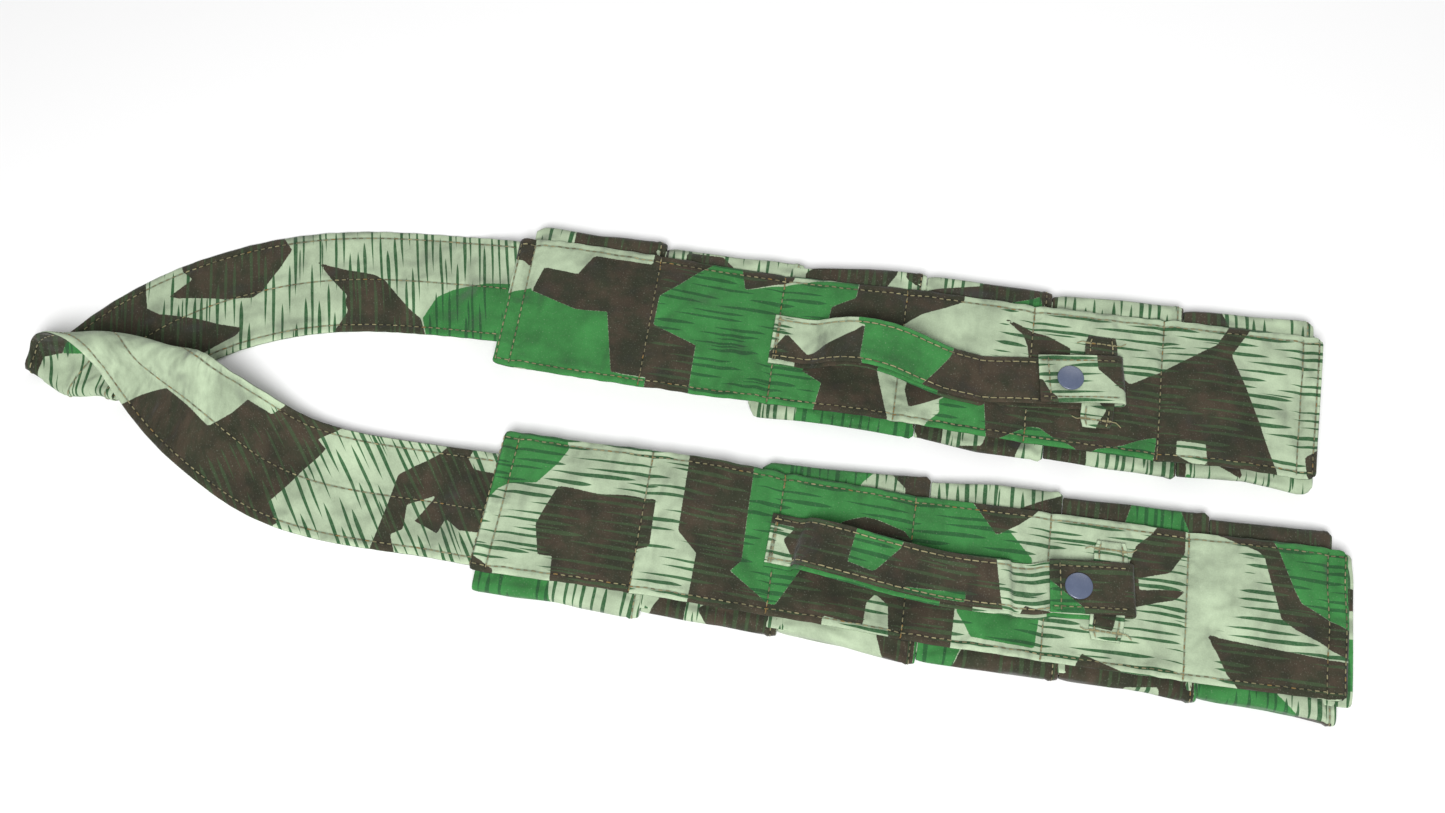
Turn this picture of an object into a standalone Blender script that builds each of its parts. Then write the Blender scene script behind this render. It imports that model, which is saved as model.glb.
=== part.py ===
"""Two-leg cloth pouch bandolier lying flat with its back up.

Metres, +Z up, table at z = 0. +X runs along the legs towards their free ends, +Y is across them.
Each leg has its own plan coordinates: u along the leg from its first cross seam, v across it, growing
towards the edge that faces away from the other leg.
"""

import math

import bmesh
import bpy
from mathutils import Matrix, Vector

GAP = 0.0003

# Legs: the x of the first cross seam, the y of the centre line, the side (+1 or -1) that faces away from
# the other leg, the press stud's y from that centre line, and how far the belt strap's end lies turned.
LEGS = {
    "leg1": {"x": -0.0915, "y": 0.0581, "out": 1.0, "snap_y": -0.0042, "belt_turn": 7.0},
    "leg2": {"x": -0.0775, "y": -0.0581, "out": -1.0, "snap_y": -0.0052, "belt_turn": 5.0},
}
SEAM_PITCH = 0.0700
POUCHES = 6

# Back panel.
PANEL_WIDTH = 0.0820
PANEL_HEM = 0.0095
PANEL_CORNER = 0.0030
PANEL_BOTTOM = 0.0124
PANEL_TOP = 0.0136

# Pouch bodies. Each one ends in a pinched hem just past its cross seam.
HEM_PAST_SEAM = 0.0050
FIRST_POUCH_START = -0.0045
LAST_POUCH_END = 0.4245
POUCH_BOTTOM = 0.0057
POUCH_TOP = 0.0121
POUCH_WALL = 0.0009
POUCH_INNER_EDGE = (-0.0400, -0.0400, -0.0470, -0.0480, -0.0480, -0.0470)
POUCH_MOUTH = 0.0460
POUCH_HOOD = 0.0500
HOOD_THICK = 0.0007

# Pouch flaps. The hinge line is the fold above the mouth.
FLAP_THICK = 0.0011
FLAP_HINGE_V = 0.0509
FLAP_HINGE_Z = 0.01155
FLAP_Z = 0.00235
FLAP_FOLD = 0.0030
FLAP_FREE_EDGE = -0.0280

# Press studs.
STUD_STEPS = 12
STUD_V = -0.0160
CAP_RADIUS = 0.0075
SHANK_RADIUS = 0.0021
SOCKET_RADIUS = 0.0055
RECESS_RADIUS = 0.0036
HEAD_RADIUS = 0.0031
HOLE_RADIUS = 0.0026

# Belt strap, keeper and end tab.
BELT_WIDTH = 0.0280
BELT_THICK = 0.0012
BELT_REST_Z = 0.0145
BELT_SNAP_U = 0.2960
BELT_FOLD_U = 0.3235
BELT_FOLD_R = 0.0022
TAB_END_U = 0.2785
KEEPER_U = 0.3110
KEEPER_Y = -0.0026
KEEPER_WIDTH = 0.0180
KEEPER_LENGTH = 0.0560
KEEPER_THICK = 0.0011
TAB_BOTTOM = 0.0179
# Middle line of each belt strap from its sewn end: u, y from the leg's centre line, and height above rest.
BELT_LINE = {
    "leg1": (
        (0.1365, -0.0020, 0.0000),
        (0.1480, -0.0022, 0.0000),
        (0.1580, -0.0026, 0.0010),
        (0.1680, -0.0030, 0.0075),
        (0.1780, -0.0032, 0.0125),
        (0.1900, -0.0036, 0.0150),
        (0.2040, -0.0046, 0.0145),
        (0.2180, -0.0066, 0.0115),
        (0.2320, -0.0088, 0.0070),
        (0.2460, -0.0098, 0.0025),
        (0.2580, -0.0092, 0.0003),
        (0.2700, -0.0078, 0.0000),
    ),
    "leg2": (
        (0.1365, 0.0000, 0.0000),
        (0.1480, -0.0006, 0.0010),
        (0.1560, -0.0020, 0.0070),
        (0.1640, -0.0040, 0.0110),
        (0.1780, -0.0064, 0.0130),
        (0.1940, -0.0086, 0.0125),
        (0.2100, -0.0100, 0.0108),
        (0.2260, -0.0106, 0.0085),
        (0.2420, -0.0102, 0.0055),
        (0.2560, -0.0092, 0.0020),
        (0.2640, -0.0084, 0.0000),
        (0.2720, -0.0076, 0.0000),
    ),
}

# Neck strap: a flat curved band with a short straight end, folded twice at its apex.
NECK_HALF = 0.0313
NECK_THICK = 0.0015
NECK_CURVED = 0.5444
NECK_LENGTH = 0.5568
NECK_START = (-0.0965, 0.0690, 180.0)
NECK_CURVATURE = (1.09, 1.41, 4.94, 4.96, 7.05, 7.27, 6.05, 0.01, 10.02, 1.41, -0.68)
NECK_TABLE_Z = 0.0008
NECK_SEWN_Z = 0.01125
NECK_RISE = 0.0420
# Sideways lean of the strap as it climbs to its seams, per unit of height.
NECK_LEAN = -0.45
# Folds in order from leg1: place along the strap, direction of the fold line in the flat band (degrees),
# angle turned (degrees, positive turns the rest of the band up) and radius.
NECK_FOLDS = (
    (0.2640, -19.71, 173.28, 0.0035),
    (0.3176, -41.36, -226.88, 0.0100),
    (0.3882, -48.18, 24.69, 0.1000),
    (0.4098, -41.94, 28.59, 0.1000),
)
NECK_COLUMNS = 10
# Spacing of the rows of points: up to each place along the strap.
NECK_SPACING = ((0.060, 0.0060), (0.238, 0.0120), (0.290, 0.0020), (0.375, 0.0040), (NECK_LENGTH, 0.0090))

COLOURS = {
    "camouflage_cloth": ((0.42, 0.53, 0.38, 1.0), 0.90, 0.0),
    "camouflage_pouch": ((0.36, 0.46, 0.33, 1.0), 0.90, 0.0),
    "camouflage_flap": ((0.30, 0.40, 0.28, 1.0), 0.90, 0.0),
    "painted_cap": ((0.23, 0.26, 0.33, 1.0), 0.45, 0.3),
    "steel_post": ((0.55, 0.55, 0.52, 1.0), 0.35, 1.0),
}


def clear_scene():
    for obj in list(bpy.data.objects):
        bpy.data.objects.remove(obj, do_unlink=True)


def new_collection(name):
    made = bpy.data.collections.new(name)
    bpy.context.scene.collection.children.link(made)
    return made


def make_material(name):
    colour, roughness, metallic = COLOURS[name]
    made = bpy.data.materials.new(name)
    made.use_nodes = True
    shader = made.node_tree.nodes["Principled BSDF"]
    shader.inputs["Base Color"].default_value = colour
    shader.inputs["Roughness"].default_value = roughness
    shader.inputs["Metallic"].default_value = metallic
    made.diffuse_color = colour
    return made


def place(name, mesh, kind, location=(0.0, 0.0, 0.0)):
    """A named part of the object, with a material of its own."""
    obj = bpy.data.objects.new(name, mesh)
    PARTS.objects.link(obj)
    obj.location = location
    material = make_material(kind)
    material.name = name + "_" + kind
    mesh.materials.clear()
    mesh.materials.append(material)
    return obj


def to_mesh(name, obj):
    """The evaluated mesh of a working object, which is then removed."""
    bpy.context.view_layer.update()
    graph = bpy.context.evaluated_depsgraph_get()
    mesh = bpy.data.meshes.new_from_object(obj.evaluated_get(graph))
    mesh.name = name
    mesh.transform(obj.matrix_world)
    bpy.data.objects.remove(obj, do_unlink=True)
    return mesh


def solid_from_outline(name, points, depth, frame):
    """A filled 2D outline, extruded by half of depth each way along the frame's third axis."""
    curve = bpy.data.curves.new(name, "CURVE")
    curve.dimensions = "2D"
    curve.fill_mode = "BOTH"
    curve.extrude = depth / 2.0
    spline = curve.splines.new("POLY")
    spline.points.add(len(points) - 1)
    for point, (a, b) in zip(spline.points, points):
        point.co = (a, b, 0.0, 1.0)
    spline.use_cyclic_u = True
    obj = bpy.data.objects.new(name, curve)
    CUTTERS.objects.link(obj)
    obj.matrix_world = frame
    return to_mesh(name, obj)


def box(name, low, high):
    """A closed box between two corners, from the cube primitive."""
    mesh = bpy.data.meshes.new(name)
    cube = bmesh.new()
    bmesh.ops.create_cube(cube, size=1.0)
    for vert in cube.verts:
        for axis in range(3):
            vert.co[axis] = low[axis] if vert.co[axis] < 0.0 else high[axis]
    bmesh.ops.recalc_face_normals(cube, faces=cube.faces)
    cube.to_mesh(mesh)
    cube.free()
    return mesh


def cylinder(name, centre, radius, depth):
    mesh = bpy.data.meshes.new(name)
    round_bar = bmesh.new()
    bmesh.ops.create_cone(
        round_bar,
        cap_ends=True,
        segments=STUD_STEPS,
        radius1=radius,
        radius2=radius,
        depth=depth,
        matrix=Matrix.Translation(centre),
    )
    round_bar.to_mesh(mesh)
    round_bar.free()
    return mesh


def combine(name, base, tools, operation):
    """Cuts each tool from the base mesh, or joins it on, and returns the finished mesh."""
    obj = bpy.data.objects.new(name, base)
    CUTTERS.objects.link(obj)
    helpers = []
    for number, tool in enumerate(tools):
        helper = bpy.data.objects.new(name + "_tool_%d" % number, tool)
        helper.hide_render = True
        helper.display_type = "WIRE"
        CUTTERS.objects.link(helper)
        helpers.append(helper)
        modifier = obj.modifiers.new("tool_%d" % number, "BOOLEAN")
        modifier.operation = operation
        modifier.solver = "EXACT"
        modifier.object = helper
    mesh = to_mesh(name, obj)
    for helper in helpers:
        bpy.data.objects.remove(helper, do_unlink=True)
    return mesh


def cloth_strip(name, rows, thickness):
    """Rows of points as an open surface, then thickened evenly about it with Solidify."""
    mesh = bpy.data.meshes.new(name)
    strip = bmesh.new()
    grid = [[strip.verts.new(point) for point in row] for row in rows]
    for row, following in zip(grid[:-1], grid[1:]):
        for k in range(len(row) - 1):
            strip.faces.new((row[k], row[k + 1], following[k + 1], following[k]))
    bmesh.ops.recalc_face_normals(strip, faces=strip.faces)
    strip.to_mesh(mesh)
    strip.free()
    obj = bpy.data.objects.new(name, mesh)
    CUTTERS.objects.link(obj)
    modifier = obj.modifiers.new("thickness", "SOLIDIFY")
    modifier.thickness = thickness
    modifier.offset = 0.0
    modifier.use_even_offset = True
    return to_mesh(name, obj)


def turned(name, profile, centre):
    """A profile of (radius, height) from top to bottom, turned about an upright axis with Screw."""
    mesh = bpy.data.meshes.new(name)
    line = bmesh.new()
    verts = [line.verts.new((radius, 0.0, height)) for radius, height in profile]
    for first, second in zip(verts[:-1], verts[1:]):
        line.edges.new((first, second))
    line.to_mesh(mesh)
    line.free()
    obj = bpy.data.objects.new(name, mesh)
    CUTTERS.objects.link(obj)
    modifier = obj.modifiers.new("turn", "SCREW")
    modifier.axis = "Z"
    modifier.angle = math.tau
    modifier.steps = STUD_STEPS
    modifier.render_steps = STUD_STEPS
    modifier.use_merge_vertices = True
    modifier.merge_threshold = 0.00001
    made = to_mesh(name, obj)
    made.transform(Matrix.Translation(centre))
    tidy = bmesh.new()
    tidy.from_mesh(made)
    bmesh.ops.recalc_face_normals(tidy, faces=tidy.faces)
    tidy.to_mesh(made)
    tidy.free()
    return made


def rounded_rectangle(x0, x1, y0, y1, radius, steps=3):
    points = []
    corners = ((x1 - radius, y1 - radius, 0), (x0 + radius, y1 - radius, 90))
    corners += ((x0 + radius, y0 + radius, 180), (x1 - radius, y0 + radius, 270))
    for cx, cy, start in corners:
        for k in range(steps + 1):
            angle = math.radians(start + 90.0 * k / steps)
            points.append((cx + radius * math.cos(angle), cy + radius * math.sin(angle)))
    return points


def leg_point(leg, u, v, z):
    return (leg["x"] + u, leg["y"] + leg["out"] * v, z)


def pouch_span(number):
    """Where a pouch's cloth starts and ends along its leg."""
    start = FIRST_POUCH_START if number == 0 else number * SEAM_PITCH + HEM_PAST_SEAM + 2.0 * GAP
    last = number == POUCHES - 1
    end = LAST_POUCH_END if last else (number + 1) * SEAM_PITCH + HEM_PAST_SEAM
    return start, end


def stud_u(number):
    return (number + 0.5) * SEAM_PITCH + 0.5 * HEM_PAST_SEAM


def across_frame(leg, u):
    """Outlines drawn as (v, z) are carried to world space, with their depth along the leg."""
    out = leg["out"]
    rows = ((0.0, 0.0, out, leg["x"] + u), (out, 0.0, 0.0, leg["y"]), (0.0, 1.0, 0.0, 0.0))
    return Matrix(rows + ((0.0, 0.0, 0.0, 1.0),))


def make_panel(side, leg):
    outline = rounded_rectangle(
        -PANEL_HEM,
        POUCHES * SEAM_PITCH + PANEL_HEM,
        -PANEL_WIDTH / 2.0,
        PANEL_WIDTH / 2.0,
        PANEL_CORNER,
    )
    middle = (PANEL_TOP + PANEL_BOTTOM) / 2.0
    frame = Matrix.Translation((leg["x"], leg["y"], middle))
    mesh = solid_from_outline(side + "_back_panel", outline, PANEL_TOP - PANEL_BOTTOM, frame)
    place(side + "_back_panel", mesh, "camouflage_cloth")


def pouch_outline(inner_edge, outer_edge, bottom, top):
    """Section of a pouch: flat sides, rounded where the cloth turns at the inner edge."""
    radius = (top - bottom) / 2.0
    points = [(outer_edge, bottom), (outer_edge, top)]
    for k in range(7):
        angle = math.radians(90.0 + 30.0 * k)
        centre_v = inner_edge + radius
        centre_z = (top + bottom) / 2.0
        points.append((centre_v + radius * math.cos(angle), centre_z + radius * math.sin(angle)))
    return points


def make_pouch(side, leg, number):
    start, end = pouch_span(number)
    name = side + "_pouch_%d" % (number + 1)
    outline = pouch_outline(POUCH_INNER_EDGE[number], POUCH_HOOD, POUCH_BOTTOM, POUCH_TOP)
    frame = across_frame(leg, (start + end) / 2.0)
    shell = solid_from_outline(name, outline, end - start, frame)
    hollow_start = max(start, number * SEAM_PITCH) + 2.0 * POUCH_WALL
    hollow_end = (number + 1) * SEAM_PITCH - POUCH_WALL
    hollow = solid_from_outline(
        name + "_hollow",
        pouch_outline(
            POUCH_INNER_EDGE[number] + POUCH_WALL,
            POUCH_HOOD + 0.01,
            POUCH_BOTTOM + POUCH_WALL,
            POUCH_TOP - POUCH_WALL,
        ),
        hollow_end - hollow_start,
        across_frame(leg, (hollow_start + hollow_end) / 2.0),
    )
    corners = [
        leg_point(leg, start - 0.01, POUCH_MOUTH, POUCH_BOTTOM - 0.01),
        leg_point(leg, end + 0.01, POUCH_HOOD + 0.01, POUCH_TOP - HOOD_THICK),
    ]
    low = [min(a, b) for a, b in zip(*corners)]
    high = [max(a, b) for a, b in zip(*corners)]
    mouth = box(name + "_mouth", low, high)
    at = leg_point(leg, stud_u(number), STUD_V, POUCH_BOTTOM + POUCH_WALL / 2.0)
    hole = cylinder(name + "_hole", at, HOLE_RADIUS, 0.003)
    mesh = combine(name, shell, [hollow, mouth, hole], "DIFFERENCE")
    place(name, mesh, "camouflage_pouch")


def flap_profile():
    """Middle line of a flap's section as (v, z), from the hinge line to the free edge."""
    points = [(FLAP_HINGE_V, FLAP_HINGE_Z), (FLAP_HINGE_V, FLAP_Z + 2.0 * FLAP_FOLD)]
    for k in range(4):
        angle = math.radians(-30.0 * k)
        v = FLAP_HINGE_V - FLAP_FOLD + FLAP_FOLD * math.cos(angle)
        points.append((v, FLAP_Z + FLAP_FOLD + FLAP_FOLD * math.sin(angle)))
    points += [(0.030, FLAP_Z), (0.005, FLAP_Z), (FLAP_FREE_EDGE, FLAP_Z)]
    return points


def make_flap(side, leg, number):
    name = side + "_flap_%d" % (number + 1)
    start, end = pouch_span(number)
    rows = [[leg_point(leg, u, v, z) for u in (start, end)] for v, z in flap_profile()]
    strip = cloth_strip(name, rows, FLAP_THICK)
    at = leg_point(leg, stud_u(number), STUD_V, FLAP_Z)
    hole = cylinder(name + "_hole", at, HOLE_RADIUS, 0.004)
    mesh = combine(name, strip, [hole], "DIFFERENCE")
    hinge = Vector(leg_point(leg, (start + end) / 2.0, FLAP_HINGE_V, FLAP_HINGE_Z))
    mesh.transform(Matrix.Translation(-hinge))
    place(name, mesh, "camouflage_flap", hinge)


def cap_profile(cloth_bottom, cloth_top):
    """Cap outside the cloth, shank through it and socket inside, from the socket's rim down to the cap."""
    socket = cloth_top + GAP
    cap = cloth_bottom - GAP
    return (
        (0.0, socket + 0.0003),
        (RECESS_RADIUS, socket + 0.0003),
        (RECESS_RADIUS, socket + 0.0014),
        (SOCKET_RADIUS, socket + 0.0014),
        (SOCKET_RADIUS, socket),
        (SHANK_RADIUS, socket),
        (SHANK_RADIUS, cap),
        (CAP_RADIUS - 0.0003, cap),
        (CAP_RADIUS, cap - 0.0005),
        (CAP_RADIUS - 0.0016, cap - 0.0012),
        (0.0, cap - 0.0015),
    )


def make_flap_stud(side, leg, number):
    name = side + "_flap_stud_%d" % (number + 1)
    bottom = FLAP_Z - FLAP_THICK / 2.0
    at = leg_point(leg, stud_u(number), STUD_V, 0.0)
    mesh = turned(name, cap_profile(bottom, bottom + FLAP_THICK), at)
    place(name, mesh, "painted_cap")


def make_pouch_stud(side, leg, number):
    """Post on the pouch front: its head sits in the flap's socket and a washer holds it inside."""
    name = side + "_pouch_stud_%d" % (number + 1)
    socket_rim = FLAP_Z + FLAP_THICK / 2.0 + GAP + 0.0014
    flange = POUCH_BOTTOM - GAP
    washer = POUCH_BOTTOM + POUCH_WALL + GAP
    profile = (
        (0.0, washer + 0.0006),
        (SOCKET_RADIUS - 0.0005, washer + 0.0006),
        (SOCKET_RADIUS - 0.0005, washer),
        (SHANK_RADIUS, washer),
        (SHANK_RADIUS, flange),
        (SOCKET_RADIUS, flange),
        (SOCKET_RADIUS, socket_rim + GAP),
        (HEAD_RADIUS - 0.0006, socket_rim + GAP),
        (HEAD_RADIUS, socket_rim - 0.0004),
        (HEAD_RADIUS - 0.0006, socket_rim - 0.0008),
        (0.0, socket_rim - 0.0008),
    )
    mesh = turned(name, profile, leg_point(leg, stud_u(number), STUD_V, 0.0))
    place(name, mesh, "steel_post")


def belt_point(leg, u, across, z):
    """A point of the belt strap's turned end, which is straight through the press stud."""
    turn = math.radians(leg["belt_turn"])
    along = u - BELT_SNAP_U
    x = leg["x"] + BELT_SNAP_U + along * math.cos(turn) - across * math.sin(turn)
    y = leg["y"] + leg["snap_y"] + along * math.sin(turn) + across * math.cos(turn)
    return Vector((x, y, z))


def end_rows(leg, section):
    """Rows across the strap's turned end at each (u, z) of its section."""
    half = BELT_WIDTH / 2.0
    return [[belt_point(leg, u, -half, z), belt_point(leg, u, half, z)] for u, z in section]


def slack_rows(side, leg):
    """Rows across the strap from its sewn end to the start of its turned end, square to its middle line."""
    middle = [
        Vector((leg["x"] + u, leg["y"] + y, BELT_REST_Z + rise)) for u, y, rise in BELT_LINE[side]
    ]
    middle.append(belt_point(leg, TAB_END_U, 0.0, BELT_REST_Z))
    rows = []
    for before, here, after in zip([middle[0]] + middle, middle[:-1], middle[1:]):
        along = after - before
        across = Vector((-along.y, along.x, 0.0)).normalized() * (BELT_WIDTH / 2.0)
        rows.append([here - across, here + across])
    return rows


def fold_arc(first, last, steps):
    """Part of the fold at the strap's end, from angle first to last, measured from the +X direction."""
    centre_z = BELT_REST_Z + BELT_FOLD_R
    points = []
    for k in range(steps + 1):
        angle = math.radians(first + (last - first) * k / steps)
        u = BELT_FOLD_U + BELT_FOLD_R * math.cos(angle)
        points.append((u, centre_z + BELT_FOLD_R * math.sin(angle)))
    return points


def make_belt_strap(side, leg):
    """Belt strap from its sewn end to the top of its fold, with its press stud post."""
    section = [(u, BELT_REST_Z) for u in (TAB_END_U, BELT_SNAP_U, KEEPER_U)]
    rows = slack_rows(side, leg) + end_rows(leg, section + fold_arc(-90.0, 62.0, 5))
    strap = cloth_strip(side + "_belt_strap", rows, BELT_THICK)
    cloth_top = BELT_REST_Z + BELT_THICK / 2.0
    socket_rim = TAB_BOTTOM - GAP - 0.0014
    profile = (
        (0.0, socket_rim + 0.0008),
        (HEAD_RADIUS - 0.0006, socket_rim + 0.0008),
        (HEAD_RADIUS, socket_rim + 0.0004),
        (HEAD_RADIUS - 0.0006, socket_rim - GAP),
        (SOCKET_RADIUS, socket_rim - GAP),
        (SOCKET_RADIUS, cloth_top - 0.0003),
        (0.0, cloth_top - 0.0003),
    )
    post = turned(side + "_post", profile, belt_point(leg, BELT_SNAP_U, 0.0, 0.0))
    mesh = combine(side + "_belt_strap", strap, [post], "UNION")
    place(side + "_belt_strap", mesh, "camouflage_cloth")


def make_belt_tab(side, leg):
    """End tab, from the top of the fold back over the keeper, with the press stud's cap and socket."""
    tab_z = TAB_BOTTOM + BELT_THICK / 2.0
    hinge = belt_point(leg, BELT_FOLD_U, 0.0, TAB_BOTTOM + BELT_THICK + GAP / 2.0)
    section = [(BELT_FOLD_U - GAP, tab_z), (BELT_SNAP_U, tab_z), (TAB_END_U, tab_z)]
    tab = cloth_strip(side + "_belt_tab", end_rows(leg, section), BELT_THICK)
    hole = cylinder(side + "_tab_hole", belt_point(leg, BELT_SNAP_U, 0.0, tab_z), HOLE_RADIUS, 0.004)
    mesh = combine(side + "_belt_tab", tab, [hole], "DIFFERENCE")
    mesh.transform(Matrix.Translation(-hinge))
    place(side + "_belt_tab", mesh, "camouflage_cloth", hinge)

    upside_down = [
        (radius, 2.0 * tab_z - height)
        for radius, height in reversed(cap_profile(TAB_BOTTOM, TAB_BOTTOM + BELT_THICK))
    ]
    mesh = turned(side + "_belt_snap", upside_down, belt_point(leg, BELT_SNAP_U, 0.0, 0.0))
    place(side + "_belt_snap", mesh, "painted_cap")


def make_keeper(side, leg):
    """A bar of cloth over the belt strap, with its two ends on the back panel."""
    middle = leg["y"] + KEEPER_Y
    low = PANEL_TOP + GAP + KEEPER_THICK / 2.0
    high = BELT_REST_Z + BELT_THICK / 2.0 + GAP + KEEPER_THICK / 2.0
    reach = KEEPER_LENGTH / 2.0
    crest = BELT_WIDTH / 2.0 + 0.0025
    section = ((-reach, low), (-crest - 0.0035, low), (-crest, high), (crest, high))
    section += ((crest + 0.0035, low), (reach, low))
    x0 = leg["x"] + KEEPER_U - KEEPER_WIDTH / 2.0
    rows = [[(x0, middle + y, z), (x0 + KEEPER_WIDTH, middle + y, z)] for y, z in section]
    mesh = cloth_strip(side + "_belt_keeper", rows, KEEPER_THICK)
    place(side + "_belt_keeper", mesh, "camouflage_cloth")


def neck_bend(s):
    """Curvature of the flat band at a distance along it."""
    if s >= NECK_CURVED:
        return 0.0
    spans = len(NECK_CURVATURE) - 1
    share = s / NECK_CURVED * spans
    first = min(int(share), spans - 1)
    share -= first
    return NECK_CURVATURE[first] * (1.0 - share) + NECK_CURVATURE[first + 1] * share


def neck_line():
    """Centre line of the flat band: a list of (x, y, heading) in small even steps."""
    steps = 557
    step = NECK_LENGTH / steps
    x, y, heading = NECK_START[0], NECK_START[1], math.radians(NECK_START[2])
    line = []
    for k in range(steps + 1):
        line.append((x, y, heading))
        turn = neck_bend((k + 0.5) * step) * step
        x += math.cos(heading + turn / 2.0) * step
        y += math.sin(heading + turn / 2.0) * step
        heading += turn
    return line


def on_line(line, s):
    share = max(0.0, min(s / NECK_LENGTH, 1.0)) * (len(line) - 1)
    first = min(int(share), len(line) - 2)
    share -= first
    return [a * (1.0 - share) + b * share for a, b in zip(line[first], line[first + 1])]


def folded(line, s, t):
    """A point of the band at s along and t across it, after all the folds, lying on the table."""
    x, y, heading = on_line(line, s)
    flat = Vector((x - t * math.sin(heading), y + t * math.cos(heading), 0.0))
    point = flat.copy()
    for where, direction, turn, radius in reversed(NECK_FOLDS):
        fold_x, fold_y, fold_heading = on_line(line, where)
        along = Vector((math.cos(math.radians(direction)), math.sin(math.radians(direction)), 0.0))
        ahead = Vector((-along.y, along.x, 0.0))
        if ahead.dot(Vector((math.cos(fold_heading), math.sin(fold_heading), 0.0))) < 0.0:
            ahead = -ahead
        turn = math.radians(turn)
        width = radius * abs(turn)
        start = Vector((fold_x, fold_y, 0.0)) - ahead * (width / 2.0)
        past = (flat - start).dot(ahead)
        if past <= 0.0:
            continue
        bent = math.copysign(min(past / radius, abs(turn)), turn)
        centre = start + Vector((0.0, 0.0, math.copysign(radius, turn)))
        axis = ahead.cross(Vector((0.0, 0.0, 1.0)))
        moved = point - ahead * min(past, width) - centre
        point = Matrix.Rotation(bent, 3, axis) @ moved + centre
    point.z += NECK_TABLE_Z
    edge = min(s, NECK_LENGTH - s)
    if edge < NECK_RISE:
        share = 1.0 - max(edge - 0.006, 0.0) / (NECK_RISE - 0.006)
        share = share * share * (3.0 - 2.0 * share)
        lift = (NECK_SEWN_Z - point.z) * share
        point += Vector((0.0, NECK_LEAN * lift, lift))
    return point


def neck_stations():
    """Places along the strap to put a row of points: close together in the two tight folds."""
    stops = [0.0]
    for limit, spacing in NECK_SPACING:
        count = max(1, round((limit - stops[-1]) / spacing))
        first = stops[-1]
        stops += [first + (limit - first) * (k + 1) / count for k in range(count)]
    return stops


def make_neck_strap():
    line = neck_line()
    across = [NECK_HALF * (2.0 * k / NECK_COLUMNS - 1.0) for k in range(NECK_COLUMNS + 1)]
    rows = [[folded(line, s, t) for t in across] for s in neck_stations()]
    mesh = cloth_strip("neck_strap", rows, NECK_THICK)
    place("neck_strap", mesh, "camouflage_cloth")


clear_scene()
PARTS = new_collection("pouch_bandolier")
CUTTERS = new_collection("cutters")
make_neck_strap()
for side_name, side_leg in LEGS.items():
    make_panel(side_name, side_leg)
    for pouch_number in range(POUCHES):
        make_pouch(side_name, side_leg, pouch_number)
        make_flap(side_name, side_leg, pouch_number)
        make_flap_stud(side_name, side_leg, pouch_number)
        make_pouch_stud(side_name, side_leg, pouch_number)
    make_belt_strap(side_name, side_leg)
    make_belt_tab(side_name, side_leg)
    make_keeper(side_name, side_leg)
CUTTERS.hide_render = True
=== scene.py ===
"""Two-leg cloth pouch bandolier, laid back side up: printed cloth, stitching and press studs.

The cloth is worked out in millimetres and turned into metres as each mesh is made. Each leg has its own
plan coordinates: u along the leg from its first cross seam and y across it, in the world's direction.
"""

import math

import bpy
import numpy as np
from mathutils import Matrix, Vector


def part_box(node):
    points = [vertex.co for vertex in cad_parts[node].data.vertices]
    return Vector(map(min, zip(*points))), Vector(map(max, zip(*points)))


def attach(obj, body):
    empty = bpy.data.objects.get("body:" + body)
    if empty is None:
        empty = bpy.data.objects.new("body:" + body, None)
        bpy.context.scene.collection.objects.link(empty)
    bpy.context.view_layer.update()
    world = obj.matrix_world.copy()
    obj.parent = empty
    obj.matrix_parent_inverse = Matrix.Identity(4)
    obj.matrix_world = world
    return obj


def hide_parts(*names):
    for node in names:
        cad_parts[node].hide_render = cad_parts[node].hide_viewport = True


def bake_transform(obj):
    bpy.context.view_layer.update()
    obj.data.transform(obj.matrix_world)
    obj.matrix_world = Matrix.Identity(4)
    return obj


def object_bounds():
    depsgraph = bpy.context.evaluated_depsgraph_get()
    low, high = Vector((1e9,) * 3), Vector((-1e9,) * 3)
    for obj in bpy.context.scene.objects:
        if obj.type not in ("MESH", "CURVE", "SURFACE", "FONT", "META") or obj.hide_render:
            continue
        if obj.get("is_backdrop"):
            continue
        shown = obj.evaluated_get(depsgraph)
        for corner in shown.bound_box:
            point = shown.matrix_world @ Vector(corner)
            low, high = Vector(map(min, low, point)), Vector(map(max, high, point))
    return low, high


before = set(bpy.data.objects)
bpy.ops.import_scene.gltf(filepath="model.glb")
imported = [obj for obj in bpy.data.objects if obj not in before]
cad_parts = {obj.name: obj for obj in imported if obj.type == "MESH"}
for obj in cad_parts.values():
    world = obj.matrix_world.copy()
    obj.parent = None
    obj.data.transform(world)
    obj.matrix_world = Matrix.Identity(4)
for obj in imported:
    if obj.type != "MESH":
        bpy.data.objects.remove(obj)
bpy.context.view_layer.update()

MM = 0.001

# Size of a leg, as in the frame.
SEAM_PITCH = 70.0
POUCHES = 6
LEG_LENGTH = POUCHES * SEAM_PITCH
HEM_PAST_SEAM = 5.0
PANEL_HALF = 41.0
PANEL_HEM = 9.5
PANEL_STITCH = 37.0
PANEL_END = LEG_LENGTH + PANEL_HEM
PANEL_TOP = 13.6
CLOTH = 1.2
ENDS = (-1.0, 1.0)

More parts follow.
